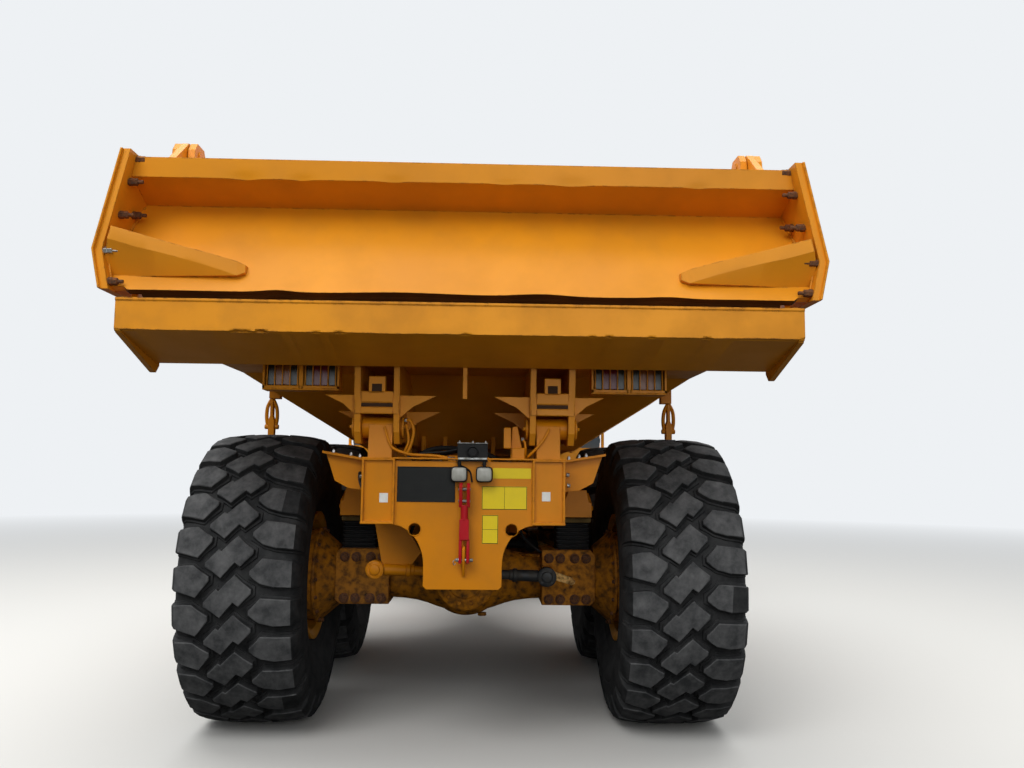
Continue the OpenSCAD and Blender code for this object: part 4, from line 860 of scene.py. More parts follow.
label(-0.377, -0.162, 1.596, 1.655)
label(-0.356, -0.102, 1.423, 1.553, (-0.230, -0.2282, 1.427, 1.549))
label(-0.196, -0.105, 1.234, 1.393, (-0.192, -0.109, 1.3125, 1.3143))
for y, z in ((0.445, 1.483), (-0.463, 1.498)):
    stickers.plate([(y - 0.024, z - 0.026), (y + 0.024, z - 0.026), (y + 0.024, z + 0.026),
                    (y - 0.024, z + 0.026)], -1.1112, -1.1098, "x", 0.0003)
labels.piece("labels_blank_yellow", LABEL_YELLOW, "rear_frame", "frame_paint")
lines.piece("label_borders", PRINT_BLACK, "rear_frame", "frame_paint")
stickers.piece("stickers_blank_white", LABEL_WHITE, "rear_frame", "frame_paint")

# the red link that locks the body: two straps, a square body and a fork round the frame's lug
link, lug_plate, link_pins = Shape(), Shape(), Shape()
STRAP = [(0.030, 1.436), (0.062, 1.436), (0.072, 1.470), (0.085, 1.540), (0.060, 1.570), (0.030, 1.566),
         (0.024, 1.500)]
FORK = [(0.030, 1.130), (0.066, 1.130), (0.072, 1.160), (0.066, 1.262), (0.030, 1.262)]
FRAME_LUG = [(0.0, 1.055), (0.014, 1.055), (0.040, 1.090), (0.066, 1.150), (0.066, 1.205), (0.050, 1.222),
             (0.0, 1.222)]
for y in (-0.038, 0.004):
    link.plate([(PLATE_X - back, z) for back, z in STRAP], y, y + 0.020, "y", 0.002)
    link.plate([(PLATE_X - back, z) for back, z in FORK], y, y + 0.017, "y", 0.002)
link.block((PLATE_X - 0.070, -0.034, 1.255), (PLATE_X - 0.032, 0.020, 1.372), 0.005)
link.rod((PLATE_X - 0.051, -0.007, 1.365), (PLATE_X - 0.051, -0.007, 1.450), 0.021, 16, 0.003)
link.block((PLATE_X - 0.064, -0.022, 1.372), (PLATE_X - 0.038, 0.008, 1.384), 0.002)
for z in (1.470, 1.535):
    link_pins.rod((PLATE_X - 0.048, -0.040, z), (PLATE_X - 0.048, 0.028, z), 0.009, 14, 0.002)
link_pins.bolt((PLATE_X - 0.048, 0.020, 1.148), (0, 1, 0), 0.020, 0.012, 0.004)
link_pins.rod((PLATE_X - 0.048, -0.058, 1.148), (PLATE_X - 0.048, 0.02, 1.148), 0.009, 14, 0.002)
link_pins.tube([(PLATE_X - 0.048, 0.036, 1.152), (PLATE_X - 0.052, 0.050, 1.140),
                (PLATE_X - 0.048, 0.046, 1.122), (PLATE_X - 0.046, 0.036, 1.130)], 0.0022, 6)
lug_plate.plate([(PLATE_X - back, z) for back, z in FRAME_LUG], -0.014, 0.001, "y", 0.002)
lug_plate.block((PLATE_X - 0.026, -0.030, 1.545), (PLATE_X, 0.018, 1.570), 0.002)
made = link.piece("lock_link_red", RED_ENAMEL, "rear_frame", "red_steel")
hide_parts("lock_link")
lug_plate.piece("lock_link_lug", FRAME_ENAMEL, "rear_frame", "frame_paint")
link_pins.piece("lock_link_pins", GALVANISED, "rear_frame", "dark_steel")

# flanges, hole rims and small bolts of the rear plate
HOLE_RIM = [(0.0360, -0.002), (0.0385, 0.0015), (0.0350, 0.0015)]
flange = Shape()
flange.block((-1.128, -0.572, 1.699), (-1.080, 0.572, 1.709), 0.002)
for side in (1, -1):
    for y in (0.388, 0.560):
        flange.block((-1.1305, side * y, 1.345), (-1.118, side * (y + 0.008), 1.699), 0.001)
    flange.block((-1.134, side * 0.386, 1.339), (-1.112, side * 0.570, 1.351), 0.002)
    flange.turned((PLATE_X, side * 0.270, 1.310), HOLE_RIM, 32, "x", -1, hollow=True)
flange.piece("rear_plate_flanges", FRAME_ENAMEL, "rear_frame", "frame_paint")
small = Shape()
for y in (0.60, 0.65, 0.75, -0.60, -0.66, -0.70):
    small.bolt((-0.99, y, 1.700 + (abs(y) - 0.55) * 0.168), (0, 0, 1), 0.016, 0.010, 0.006)
for y, z in ((-0.585, 1.62), (-0.59, 1.56), (0.578, 1.60)):
    small.bolt((-1.02, y, z), (0, 1 if y > 0 else -1, 0), 0.020, 0.012)
small.piece("frame_small_bolts", ZINC_BOLT, "rear_frame", "dark_steel")

# an upright bracket and box on top of the frame
box_bracket = Shape()
box_bracket.plate([(-0.330, 1.705), (-0.262, 1.705), (-0.262, 1.760), (-0.272, 1.890), (-0.300, 1.895),
                   (-0.330, 1.760)], -1.03, -1.012, "x", 0.002)
box_bracket.block((-1.075, -0.262, 1.765), (-1.025, -0.222, 1.885), 0.005)
box_bracket.block((-1.080, -0.340, 1.700), (-1.020, -0.270, 1.770), 0.004)
box_bracket.piece("frame_box_bracket", FRAME_ENAMEL, "rear_frame", "frame_paint")

# grease lines and cables: orange-brown pipes over the frame, black hoses behind
pipes, hoses, fittings = Shape(), Shape(), Shape()
pipes.tube([(-1.073, 0.455, 1.880), (-1.083, 0.438, 1.830), (-1.092, 0.420, 1.783), (-1.097, 0.400, 1.760),
            (-1.102, 0.350, 1.738), (-1.104, 0.285, 1.724), (-1.104, 0.200, 1.722), (-1.106, 0.130, 1.716),
            (-1.110, 0.085, 1.706)], 0.008)
pipes.tube([(-1.05, 0.338, 1.920), (-1.06, 0.310, 1.915), (-1.065, 0.290, 1.860), (-1.06, 0.305, 1.780),
            (-1.055, 0.335, 1.716)], 0.009)
pipes.tube([(-1.05, 0.336, 1.895), (-1.062, 0.326, 1.865), (-1.066, 0.318, 1.800), (-1.06, 0.340, 1.740)],
           0.007)
pipes.tube([(-1.073, -0.480, 1.880), (-1.083, -0.455, 1.830), (-1.092, -0.420, 1.783),
            (-1.095, -0.400, 1.760), (-1.08, -0.365, 1.725), (-1.03, -0.355, 1.710)], 0.008)
pipes.tube([(-1.05, -0.330, 1.82), (-1.06, -0.342, 1.80), (-1.062, -0.346, 1.76), (-1.04, -0.345, 1.712)],
           0.007)
pipes.piece("grease_pipes_painted", FRAME_ENAMEL, "rear_frame", "frame_paint")
hoses.tube([(-1.095, 0.320, 1.712), (-1.100, 0.220, 1.735), (-1.105, 0.120, 1.742), (-1.100, 0.042, 1.757)],
           0.005)
hoses.tube([(-0.98, 0.30, 1.70), (-0.90, 0.20, 1.76), (-0.80, 0.05, 1.77), (-0.70, -0.12, 1.74),
            (-0.62, -0.25, 1.69)], 0.014)
hoses.tube([(-0.98, -0.18, 1.70), (-0.86, -0.10, 1.75), (-0.74, 0.08, 1.75), (-0.60, 0.28, 1.69)], 0.012)
hoses.tube([(-1.05, 0.565, 1.52), (-1.03, 0.585, 1.56), (-0.98, 0.600, 1.60), (-0.93, 0.60, 1.64),
            (-0.88, 0.585, 1.68)], 0.010)
hoses.piece("frame_hoses", HOSE_RUBBER, "rear_frame", "black_plastic")
fittings.rod((-1.110, 0.092, 1.7075), (-1.110, 0.050, 1.7035), 0.011, 6, 0.002)
fittings.rod((-1.110, 0.056, 1.704), (-1.110, 0.040, 1.702), 0.007, 10, 0.001)
for y, z in ((0.344, 1.920), (-0.338, 1.82)):
    fittings.rod((-1.050, y, z), (-1.050, y * 0.95, z), 0.012, 6, 0.002)
fittings.piece("pipe_fittings", ZINC_BOLT, "rear_frame", "dark_steel")


def rounded(x0, x1, y0, y1, r, steps=3):
    """The outline of a rectangle with rounded corners."""
    corners = ((x1 - r, y1 - r, 0), (x0 + r, y1 - r, 90), (x0 + r, y0 + r, 180), (x1 - r, y0 + r, 270))
    return [(cx + r * cos(radians(a + 90 * i / steps)), cy + r * sin(radians(a + 90 * i / steps)))
            for cx, cy, a in corners for i in range(steps + 1)]


def free_hose(name, path, diameter, body):
    """A hose that hangs free between two fittings."""
    shape = Shape()
    shape.tube(path, diameter / 2, 12, 10)
    made = shape.piece(name, HOSE_RUBBER, body, "black_plastic")
    return made


# Axles, springs and bogies

# A rubber layer bulges between two steel plates: height above its lower plate, and how far it stands out
BULGE = [(0.0, 0.0), (0.003, 0.006), (0.012, 0.009), (0.021, 0.006), (0.024, 0.0)]
SPRING_LAYERS, LAYER_PITCH, SPRING_FOOT, SPRING_Y = 8, 0.0270, 1.125, 0.711
layers, shims, pads = Shape(), Shape(), Shape()
for x in (0.0, MIDDLE_AXLE):
    for side in (1, -1):
        for i in range(SPRING_LAYERS):
            z = SPRING_FOOT + 0.0025 + i * LAYER_PITCH
            layers.rings([[(x + u, side * (SPRING_Y + v), z + up) for u, v in
                           rounded(-0.120 - out, 0.120 + out, -0.101 - out, 0.101 + out, 0.02)]
                          for up, out in BULGE])
        for i in range(SPRING_LAYERS + 1):
            z = SPRING_FOOT + i * LAYER_PITCH
            shims.block((x - 0.130, side * 0.600, z - 0.001), (x + 0.130, side * 0.822, z + 0.003), 0.001)
        shims.block((x - 0.150, side * 0.590, 1.112), (x + 0.150, side * 0.826, 1.126), 0.003)
        pads.block((x - 0.152, side * 0.594, 1.302), (x + 0.152, side * 0.828, 1.334), 0.005)
made = layers.piece("spring_rubber_layers", SPRING_RUBBER, "rear_frame", "spring_rubber")
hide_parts("rubber_springs")
shims.piece("spring_steel_plates", DARK_STEEL, "rear_frame", "dark_steel")
pads.piece("spring_top_plates", DUSTY_STEEL, "rear_frame", "dark_steel")

# Outlines turned round the axle: the differential's covers, the cones beside it and the brakes' flanges
DIFF_COVER = [(0.171, 0.262), (0.190, 0.264), (0.192, 0.278), (0.180, 0.286), (0.118, 0.290), (0.112, 0.300),
              (0.001, 0.302)]
AXLE_CONE = [(0.225, 0.120), (0.205, 0.190), (0.180, 0.260), (0.162, 0.330), (0.150, 0.420), (0.146, 0.498)]
BRAKE_FLANGE = [(0.286, 0.955), (0.312, 0.968), (0.314, 0.972), (0.314, 0.985), (0.300, 0.990),
                (0.286, 0.990)]
AXLES = (("rear", "rear_frame", (0.0, MIDDLE_AXLE)), ("front", "front_frame", (FRONT_AXLE,)))
for name, body, places in AXLES:
    castings, fasteners = Shape(), Shape()
    for x in places:
        centre = (x, 0, TYRE_R)
        for end in (-1, 1):
            castings.turned(centre, DIFF_COVER, 40, "x", end)
            castings.bolt_circle((x + end * 0.286, 0, TYRE_R), 0.150, 12, "x", end, 0.024, 0.012, start=0.5,
                                 washer=False)
        # the seam over the differential's top, and the drain plug below it
        castings.tube([(x - 0.262 * cos(a), 0.0, TYRE_R + 0.262 * sin(a))
                       for a in np.linspace(0.9, 2.24, 12)], 0.012, 10, 2)
        castings.rod((x, -0.11, 0.668), (x, -0.11, 0.690), 0.030, 6, 0.003)
        for side in (1, -1):
            castings.turned(centre, AXLE_CONE, 48, "y", side)
            castings.turned(centre, BRAKE_FLANGE, 48, "y", side)
            fasteners.bolt_circle((x, side * 0.966, TYRE_R), 0.303, 16, "y", -side, 0.020, 0.012)
            for end in (-1, 1):
                for y in (0.545, 0.620, 0.715, 0.790):
                    for z in (0.808, 1.072):
                        fasteners.bolt((x + end * 0.2105, side * y, z), (end, 0, 0), 0.046, 0.024, 0.008)
                castings.plate([(side * 0.502, 0.772), (side * 0.818, 0.772), (side * 0.848, 0.802),
                                (side * 0.848, 1.093), (side * 0.818, 1.123), (side * 0.502, 1.123)],
                               x + end * 0.2095, x + end * 0.2115, "x", 0.0008)
            castings.rod((x - 0.06, side * 0.62, 1.12), (x - 0.06, side * 0.62, 1.10), 0.02, 12)
            castings.tube([(x - 0.19, side * 0.48, 1.085), (x - 0.10, side * 0.40, 1.085),
                           (x, side * 0.335, 1.08)], 0.008, 8)
    castings.piece(name + "_axle_castings", AXLE_ENAMEL, body, "frame_paint")
    fasteners.piece(name + "_axle_bolts", RUSTY_BOLT, body, "dark_steel")

# The ends of a cross rod, as across and up, and where their covers stand behind the axle
LEFT_EYE, RIGHT_EYE = (0.552, 1.028), (-0.515, 0.980)
LEFT_COVER_X, RIGHT_COVER_X = 0.568, 0.481
# A ball joint's cover, as (radius, distance past its face), for an eye of 78 mm
BALL_COVER = [(0.080, -0.090), (0.080, -0.018), (0.084, -0.014), (0.084, -0.004), (0.072, 0.002),
              (0.050, 0.004), (0.044, 0.012), (0.026, 0.016)]


def on_rod(x, y, up):
    """A point on the middle line of the cross rod behind an axle."""
    t = (LEFT_EYE[0] - y) / (LEFT_EYE[0] - RIGHT_EYE[0])
    return Vector((x - 0.520 + 0.090 * t, y, LEFT_EYE[1] - (LEFT_EYE[1] - RIGHT_EYE[1]) * t + up))


joints, dark_joints, lever = Shape(), Shape(), Shape()
for x in (0.0, MIDDLE_AXLE):
    up = 0.0 if x == 0 else 0.045
    for ends, (y, z), inward, r, out in ((joints, LEFT_EYE, -1, 0.052, LEFT_COVER_X),
                                         (dark_joints, RIGHT_EYE, 1, 0.056, RIGHT_COVER_X)):
        k = r / 0.078
        cover = [(radius * k, out + past) for radius, past in BALL_COVER] + [(0.001, out + 0.016)]
        ends.turned((x, y, z + up), cover, 40, "x", -1)
        ends.rod(on_rod(x, y + 0.050 * inward, up), on_rod(x, y + 0.240 * inward, up), 0.037, 28, 0.006,
                 0.034)
        ends.rod(on_rod(x, y + 0.190 * inward, up), on_rod(x, y + 0.215 * inward, up), 0.042, 28, 0.003)
        ends.bolt_circle((x - out + 0.003, y, z + up), 0.062 * k, 4, "x", -1, 0.015, 0.008, start=0.5,
                         washer=False)
    # the right half of the rod is black up to the frame
    dark_joints.rod(on_rod(x, -0.30, up), on_rod(x, 0.0, up), 0.0292, 28, 0.001)
    lever.plate([(-0.500, 1.020 + up), (-0.540, 1.022 + up), (-0.680, 0.972 + up), (-0.697, 0.955 + up),
                 (-0.692, 0.936 + up), (-0.672, 0.930 + up), (-0.530, 0.968 + up), (-0.500, 0.976 + up)],
                x - 0.452, x - 0.434, "x", 0.003)
    lever.bolt((x - 0.452, -0.672, 0.952 + up), (-1, 0, 0), 0.026, 0.012, 0.006)
joints.piece("rod_ball_joint_left", FRAME_ENAMEL, "rear_frame", "frame_paint")
dark_joints.piece("rod_ball_joint_right", DARK_STEEL, "rear_frame", "dark_steel")
lever.piece("rod_levers", FLAKED_ENAMEL, "rear_frame", "frame_paint")

PIVOT_Z = 1.31
PIVOT_COVER = [(0.100, 0.815), (0.104, 0.818), (0.104, 0.838), (0.094, 0.843), (0.052, 0.843), (0.045, 0.850),
               (0.001, 0.851)]
pivots = Shape()
for side in (1, -1):
    pivots.turned((MIDDLE_AXLE / 2, 0, PIVOT_Z), PIVOT_COVER, 40, "y", side)
    pivots.bolt_circle((MIDDLE_AXLE / 2, side * 0.843, PIVOT_Z), 0.074, 6, "y", side, 0.018, 0.008)
    for x in (-0.23, 2.17):
        pivots.bolt((x, side * 0.814, 1.400), (0, side, 0), 0.030, 0.014)
pivots.piece("bogie_pivot_covers", FRAME_ENAMEL, "rear_frame", "frame_paint")

# universal joints of the drive shafts: a bolted flange, two fork arms and the cross between them
FORK_TURN = 0.4
yokes = Shape()
for x, way in ((0.305, 1), (MIDDLE_AXLE - 0.305, -1), (MIDDLE_AXLE + 0.305, 1)):
    yokes.bolt_circle((x + way * 0.0255, 0, TYRE_R), 0.078, 8, "x", way, 0.016, 0.010)
    for a in (FORK_TURN, FORK_TURN + pi):
        y, z = 0.052 * cos(a), 0.052 * sin(a)
        yokes.rod((x + way * 0.02, y, TYRE_R + z), (x + way * 0.095, y, TYRE_R + z), 0.026, 14, 0.006)
    y, z = 0.07 * cos(FORK_TURN), 0.07 * sin(FORK_TURN)
    yokes.rod((x + way * 0.075, -y, TYRE_R - z), (x + way * 0.075, y, TYRE_R + z), 0.018, 14, 0.003)
yokes.piece("shaft_yokes", DARK_STEEL, "rear_frame", "dark_steel")

# lines that are clipped along the inside of the frame's side plates
clips, lines_run = Shape(), Shape()
for side in (1, -1):
    y = side * 0.374
    for drop, r in ((0.030, 0.011), (0.058, 0.011), (0.084, 0.008)):
        lines_run.tube([(-0.55, y, 1.66 - drop), (0.9, y, 1.66 - drop), (2.4, y, 1.66 - drop),
                        (2.9, side * 0.36, 1.56 - drop), (3.5, side * 0.34, 1.43 - drop)], r, 10, 3)
    for x in (-0.4, 0.2, 0.75, 1.5, 2.2):
        clips.block((x - 0.02, side * 0.390, 1.555), (x + 0.02, side * 0.358, 1.650), 0.002)
        clips.bolt((x, side * 0.358, 1.602), (0, -side, 0), 0.018, 0.010)
lines_run.piece("frame_lines_clipped", HOSE_RUBBER, "rear_frame", "black_plastic")
clips.piece("frame_line_clips", GALVANISED, "rear_frame", "dark_steel")
for x, axle in ((0.0, "rear"), (MIDDLE_AXLE, "middle")):
    for side, hand in ((1, "left"), (-1, "right")):
        free_hose("brake_hose_%s_%s" % (axle, hand),
                  [(x - 0.30, side * 0.386, 1.602), (x - 0.27, side * 0.33, 1.54),
                   (x - 0.25, side * 0.33, 1.36), (x - 0.22, side * 0.37, 1.22),
                   (x - 0.165, side * 0.45, 1.14), (x - 0.15, side * 0.505, 1.10)],
                  0.020, "rear_frame")


# Hoists and steering cylinders

hoist_pin, hoist_eye = Vector((2.900, 0, 0.950)), Vector((0.400, 0, 1.680))
along = (hoist_eye - hoist_pin).normalized()
upward = Vector((along.z, 0, -along.x))
for letter, side in (("l", 1), ("r", -1)):
    beside = Vector((0, side * 0.25, 0))
    gland, lines_up = Shape(), Shape()
    p = hoist_pin + beside
    gland.rod(p + along * 1.935, p + along * 1.962, 0.080, 8, 0.004)
    gland.rod(p + along * 0.10, p + along * 0.13, 0.083, 40, 0.003)
    gland.rod(p + along * 1.00, p + along * 1.03, 0.080, 40, 0.002)
    for s in (0.16, 1.86):
        gland.rod(p + along * s + upward * 0.07, p + along * s + upward * 0.098, 0.020, 6, 0.003)
    gland.piece("hoist_gland_" + letter, FRAME_ENAMEL, "hoist_barrel_" + letter, "frame_paint")
    lines_up.tube([p + along * s + upward * off for s, off in
                   ((1.86, 0.092), (1.80, 0.095), (1.00, 0.092), (0.30, 0.095), (0.24, 0.095))], 0.010, 10)
    lines_up.piece("hoist_oil_line_" + letter, FRAME_ENAMEL, "hoist_barrel_" + letter, "frame_paint")
    collar = Shape()
    q = hoist_eye + beside
    collar.rod(q - along * 0.115, q - along * 0.078, 0.056, 40, 0.003)
    for way in (1, -1):
        collar.rod(q + Vector((0, 0.058 * way, 0)), q + Vector((0, 0.064 * way, 0)), 0.060, 36, 0.002)
    collar.piece("hoist_eye_collar_" + letter, FRAME_ENAMEL, "hoist_rod_" + letter, "frame_paint")
    pins = Shape()
    for y, way in ((0.372, 1), (0.128, -1)):
        face = Vector((hoist_pin.x, side * y, hoist_pin.z))
        end = Vector((hoist_pin.x, side * (y + 0.012 * way), hoist_pin.z))
        pins.rod(face, end, 0.052, 28, 0.003)
        pins.bolt(end + Vector((0.025, 0, 0)), (0, side * way, 0), 0.018, 0.010)
    pins.piece("hoist_pin_ends_" + letter, GALVANISED, "rear_frame", "dark_steel")

for letter, side in (("l", 1), ("r", -1)):
    pin, eye = Vector((6.090, side * 0.460, 1.050)), Vector((4.890, side * 0.300, 1.050))
    way = (eye - pin).normalized()
    gland = Shape()
    gland.rod(pin + way * 0.835, pin + way * 0.868, 0.049, 32, 0.003)
    gland.rod(pin + way * 0.10, pin + way * 0.12, 0.049, 32, 0.002)
    for s in (0.14, 0.80):
        port = pin + way * s
        gland.rod(port + Vector((0, 0, 0.042)), port + Vector((0, 0, 0.064)), 0.014, 6, 0.002)
    gland.tube([pin + way * s + Vector((0, 0, up)) for s, up in
                ((0.80, 0.060), (0.76, 0.062), (0.30, 0.062), (0.20, 0.060))], 0.007, 10)
    gland.piece("steer_gland_" + letter, FRAME_ENAMEL, "steer_barrel_" + letter, "frame_paint")


# Joint between the frames

ROLL_AXIS_Z, STEER_AXIS_X = 1.05, 5.040
ROLL_COLLAR = [(0.284, 0.012), (0.296, 0.014), (0.296, 0.030), (0.284, 0.032)]
PIN_CAP = [(0.069, 0.0), (0.100, 0.002), (0.104, 0.006), (0.104, 0.014), (0.096, 0.020), (0.001, 0.022)]
hitch_parts, hitch_bolts = Shape(), Shape()
hitch_parts.turned((4.72, 0, ROLL_AXIS_Z), ROLL_COLLAR, 48, "x", 1)
hitch_bolts.bolt_circle((4.800, 0, ROLL_AXIS_Z), 0.240, 16, "x", 1, 0.030, 0.016)
for z, way in ((1.410, 1), (0.690, -1)):
    hitch_parts.turned((STEER_AXIS_X, 0, z), PIN_CAP, 36, "z", way)
    hitch_bolts.bolt_circle((STEER_AXIS_X, 0, z + 0.020 * way), 0.075, 6, "z", way, 0.020, 0.010)
hitch_parts.piece("hitch_covers", FRAME_ENAMEL, "hitch", "frame_paint")
hitch_bolts.piece("hitch_bolts", RUSTY_BOLT, "hitch", "dark_steel")


# Cab

def frame_strip(shape, outline, low, high, axis, width):
    """A strip of one width round an opening's outline, standing between two planes."""
    outline, edge = anticlockwise(outline), 0.002
    far = high - edge if high > low else high + edge
    levels = [(0, low), (0, far), (edge, high), (width - edge, high), (width, far), (width, low)]
    rings = [[laid(axis, *p, depth) for p in inset(outline, distance)] for distance, depth in levels]
    shape.rings(rings + rings[:1], caps=False)


def crowned(name, low, high, crown, body, material):
    """A stuffed cushion: a box with full corners, crowned on both faces and pinched at its seam."""
    (x0, y0, z0), (x1, y1, z1) = low, high
    centre = Vector(((x0 + x1) / 2, (y0 + y1) / 2, (z0 + z1) / 2))
    half = Vector(((x1 - x0) / 2, (y1 - y0) / 2, (z1 - z0) / 2))
    work = bmesh.new()
    bmesh.ops.create_cube(work, size=2.0)
    bmesh.ops.subdivide_edges(work, edges=work.edges, cuts=14, use_grid_fill=True)
    thin = min(range(3), key=lambda i: half[i])
    for v in work.verts:
        p = v.co.copy()
        k = max(abs(c) for c in p) / max(1e-6, sum(abs(c) ** 4.5 for c in p) ** (1 / 4.5))
        p = p * k
        flat = [c for i, c in enumerate(p) if i != thin]
        swell = (1 - flat[0] ** 2) * (1 - flat[1] ** 2)
        p[thin] *= 1.0 - crown + crown * max(0.0, swell)
        pleat = 0.02 * cos(7 * pi * flat[0]) * max(0.0, swell)
        p[thin] -= pleat * (1 if p[thin] > 0 else -1) * (1 - crown)
        v.co = centre + Vector((p.x * half.x, p.y * half.y, p.z * half.z)) + Vector((REAR_AXLE, 0, 0))
    mesh = bpy.data.meshes.new(name)
    work.to_mesh(mesh)
    work.free()
    return finished(name, mesh, material, body)


WINDSHIELD = ((7.041, 2.70), (6.748, 3.66))


def on_windshield(y, z, out=0.0):
    """A point on the windshield, or out from it along its normal."""
    (x0, z0), (x1, z1) = WINDSHIELD
    return Vector((x0 + (z - z0) * (x1 - x0) / (z1 - z0) + out * 0.956, y, z + out * 0.292))


# Window outlines: x and z on the sides, and y and z on the rear wall and the windshield
QUARTER_WINDOW = [(5.43, 2.48), (5.46, 3.53), (5.90, 3.53), (5.90, 2.48)]
RIGHT_WINDOW = [(6.01, 2.48), (6.01, 3.53), (6.59, 3.53), (6.87, 2.70), (6.87, 2.48)]
REAR_WINDOW = [(-0.71, 2.52), (0.71, 2.52), (0.71, 2.90), (-0.71, 2.90)]
DOOR_WINDOW = [(6.03, 2.48), (6.03, 3.52), (6.58, 3.52), (6.855, 2.70), (6.855, 2.48)]
FRONT_WINDOW, FRONT_WINDOW_MIDDLE = [(-0.74, 2.76), (0.74, 2.76), (0.74, 3.57), (-0.74, 3.57)], 3.165
SEAL_OUT, SEAL_WIDTH = 0.006, 0.022
# The windshield's seal in section: the shares of the pane's width and height, and how far it stands out
SEAL_SECTION = ((1.0, 1.0, -0.004), (1.0, 1.0, SEAL_OUT), (0.972, 0.95, SEAL_OUT), (0.972, 0.95, -0.004))

seals, door_seals, wipers = Shape(), Shape(), Shape()
for side in (1, -1):
    face = side * CAB_SIDE
    frame_strip(seals, QUARTER_WINDOW, face - side * SEAL_OUT, face + side * SEAL_OUT, "y", SEAL_WIDTH)
frame_strip(seals, RIGHT_WINDOW, -CAB_SIDE + SEAL_OUT, -CAB_SIDE - SEAL_OUT, "y", SEAL_WIDTH)
frame_strip(seals, REAR_WINDOW, CAB_REAR + SEAL_OUT, CAB_REAR - SEAL_OUT, "x", SEAL_WIDTH)
bands = []
for wide, tall, out in SEAL_SECTION:
    bands.append([on_windshield(y * wide, FRONT_WINDOW_MIDDLE + (z - FRONT_WINDOW_MIDDLE) * tall, out)
                  for y, z in FRONT_WINDOW])
seals.rings(bands + bands[:1], caps=False)
seals.piece("window_seals", BLACK_PLASTIC, "front_frame", "black_plastic")
frame_strip(door_seals, DOOR_WINDOW, CAB_SIDE - 0.004, CAB_SIDE + SEAL_OUT, "y", 0.020)
door_seals.block((6.775, CAB_SIDE - 0.002, 2.300), (6.895, CAB_SIDE + 0.006, 2.400), 0.003)
door_seals.tube([(x, CAB_SIDE + out, z) for x, out, z in
                 ((6.785, 0.004, 2.372), (6.795, 0.034, 2.374), (6.86, 0.036, 2.374), (6.885, 0.004, 2.372))],
                0.009, 10)
door_seals.block((6.05, CAB_SIDE - 0.002, 2.06), (6.85, CAB_SIDE + 0.004, 2.075), 0.001)
door_seals.piece("door_seal_and_handle", BLACK_PLASTIC, "cab_door", "black_plastic")
for side in (1, -1):
    foot, tip = on_windshield(side * 0.10, 2.735, 0.020), on_windshield(side * 0.42, 3.16, 0.028)
    wipers.rod(foot, foot + Vector((0.045, 0, 0.014)) * 0.6, 0.020, 18, 0.003)
    wipers.tube([foot + Vector((0.015, 0, 0)), on_windshield(side * 0.24, 2.92, 0.036), tip], 0.007, 8)
    low, high = on_windshield(side * 0.40, 2.86, 0.016), on_windshield(side * 0.44, 3.45, 0.016)
    wipers.tube([low, (low + high) / 2 + Vector((0.003, 0, 0.001)), high], 0.006, 8)
    wipers.rod(low + Vector((-0.012, 0, -0.004)), high + Vector((-0.012, 0, -0.004)), 0.004, 6)
wipers.piece("windshield_wipers", BLACK_PLASTIC, "front_frame", "black_plastic")

roof, rear_vents = Shape(), Shape()
for side in (1, -1):
    roof.tube([(5.47, side * 0.815, 3.708), (6.0, side * 0.818, 3.712), (6.66, side * 0.815, 3.708)],
              0.007, 8, 2)
    roof.block((5.50, side * 0.822, 3.625), (6.60, side * 0.838, 3.640), 0.003)
    roof.block((6.01, side * 0.826, 1.95), (6.90, side * 0.834, 1.962), 0.002)
roof.piece("cab_gutters", CAB_ENAMEL, "front_frame", "cab_paint")
for i in range(9):
    y = -0.32 + i * 0.08
    for x, z in ((5.352, 3.20), (5.356, 3.24)):
        rear_vents.plate([(y - 0.03, z), (y + 0.03, z), (y + 0.03, z + 0.015), (y - 0.03, z + 0.015)], x,
                         x + 0.014, "x", 0.001)
rear_vents.piece("cab_rear_vents", BLACK_PLASTIC, "front_frame", "black_plastic")

# the seat: a foot, a bellows of five folds, a pan, side plates and armrests
FOLD = ((0.0, -0.012), (0.010, 0.0), (0.020, 0.008), (0.030, 0.0), (0.040, -0.012))
FOLDS, FOLD_PITCH = 5, 0.040
SEAT_SIDE = [(5.76, 2.10), (5.86, 2.08), (5.90, 2.16), (5.80, 2.60), (5.76, 2.60)]
seat = Shape()
seat.block((5.88, -0.21, 1.815), (6.22, 0.21, 1.850), 0.006)
for i in range(FOLDS):
    z = 1.850 + i * FOLD_PITCH
    seat.rings([[(6.05 + u, v, z + up)
                 for u, v in rounded(-0.15 - out, 0.15 + out, -0.19 - out, 0.19 + out, 0.03)]
                for up, out in FOLD])
seat.block((5.82, -0.24, 2.050), (6.28, 0.24, 2.095), 0.010)
seat.rod((5.80, -0.27, 2.12), (5.80, 0.27, 2.12), 0.026, 20, 0.004)
for side in (1, -1):
    seat.plate(SEAT_SIDE, side * 0.245, side * 0.262, "y", 0.004)
    seat.block((5.80, side * 0.285, 2.355), (6.12, side * 0.335, 2.395), 0.010)
    seat.rod((5.83, side * 0.262, 2.37), (5.83, side * 0.30, 2.37), 0.022, 16, 0.003)
seat_base = seat.piece("seat_suspension", BLACK_PLASTIC, "front_frame", "black_plastic")
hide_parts("cab_seat")
cushion_piece = crowned("seat_cushion", (5.80, -0.25, 2.085), (6.32, 0.25, 2.235), 0.22, "front_frame",
                        SEAT_CLOTH)
back_piece = crowned("seat_back_cushion", (5.745, -0.24, 2.20), (5.885, 0.24, 2.88), 0.25, "front_frame",
                     SEAT_CLOTH)

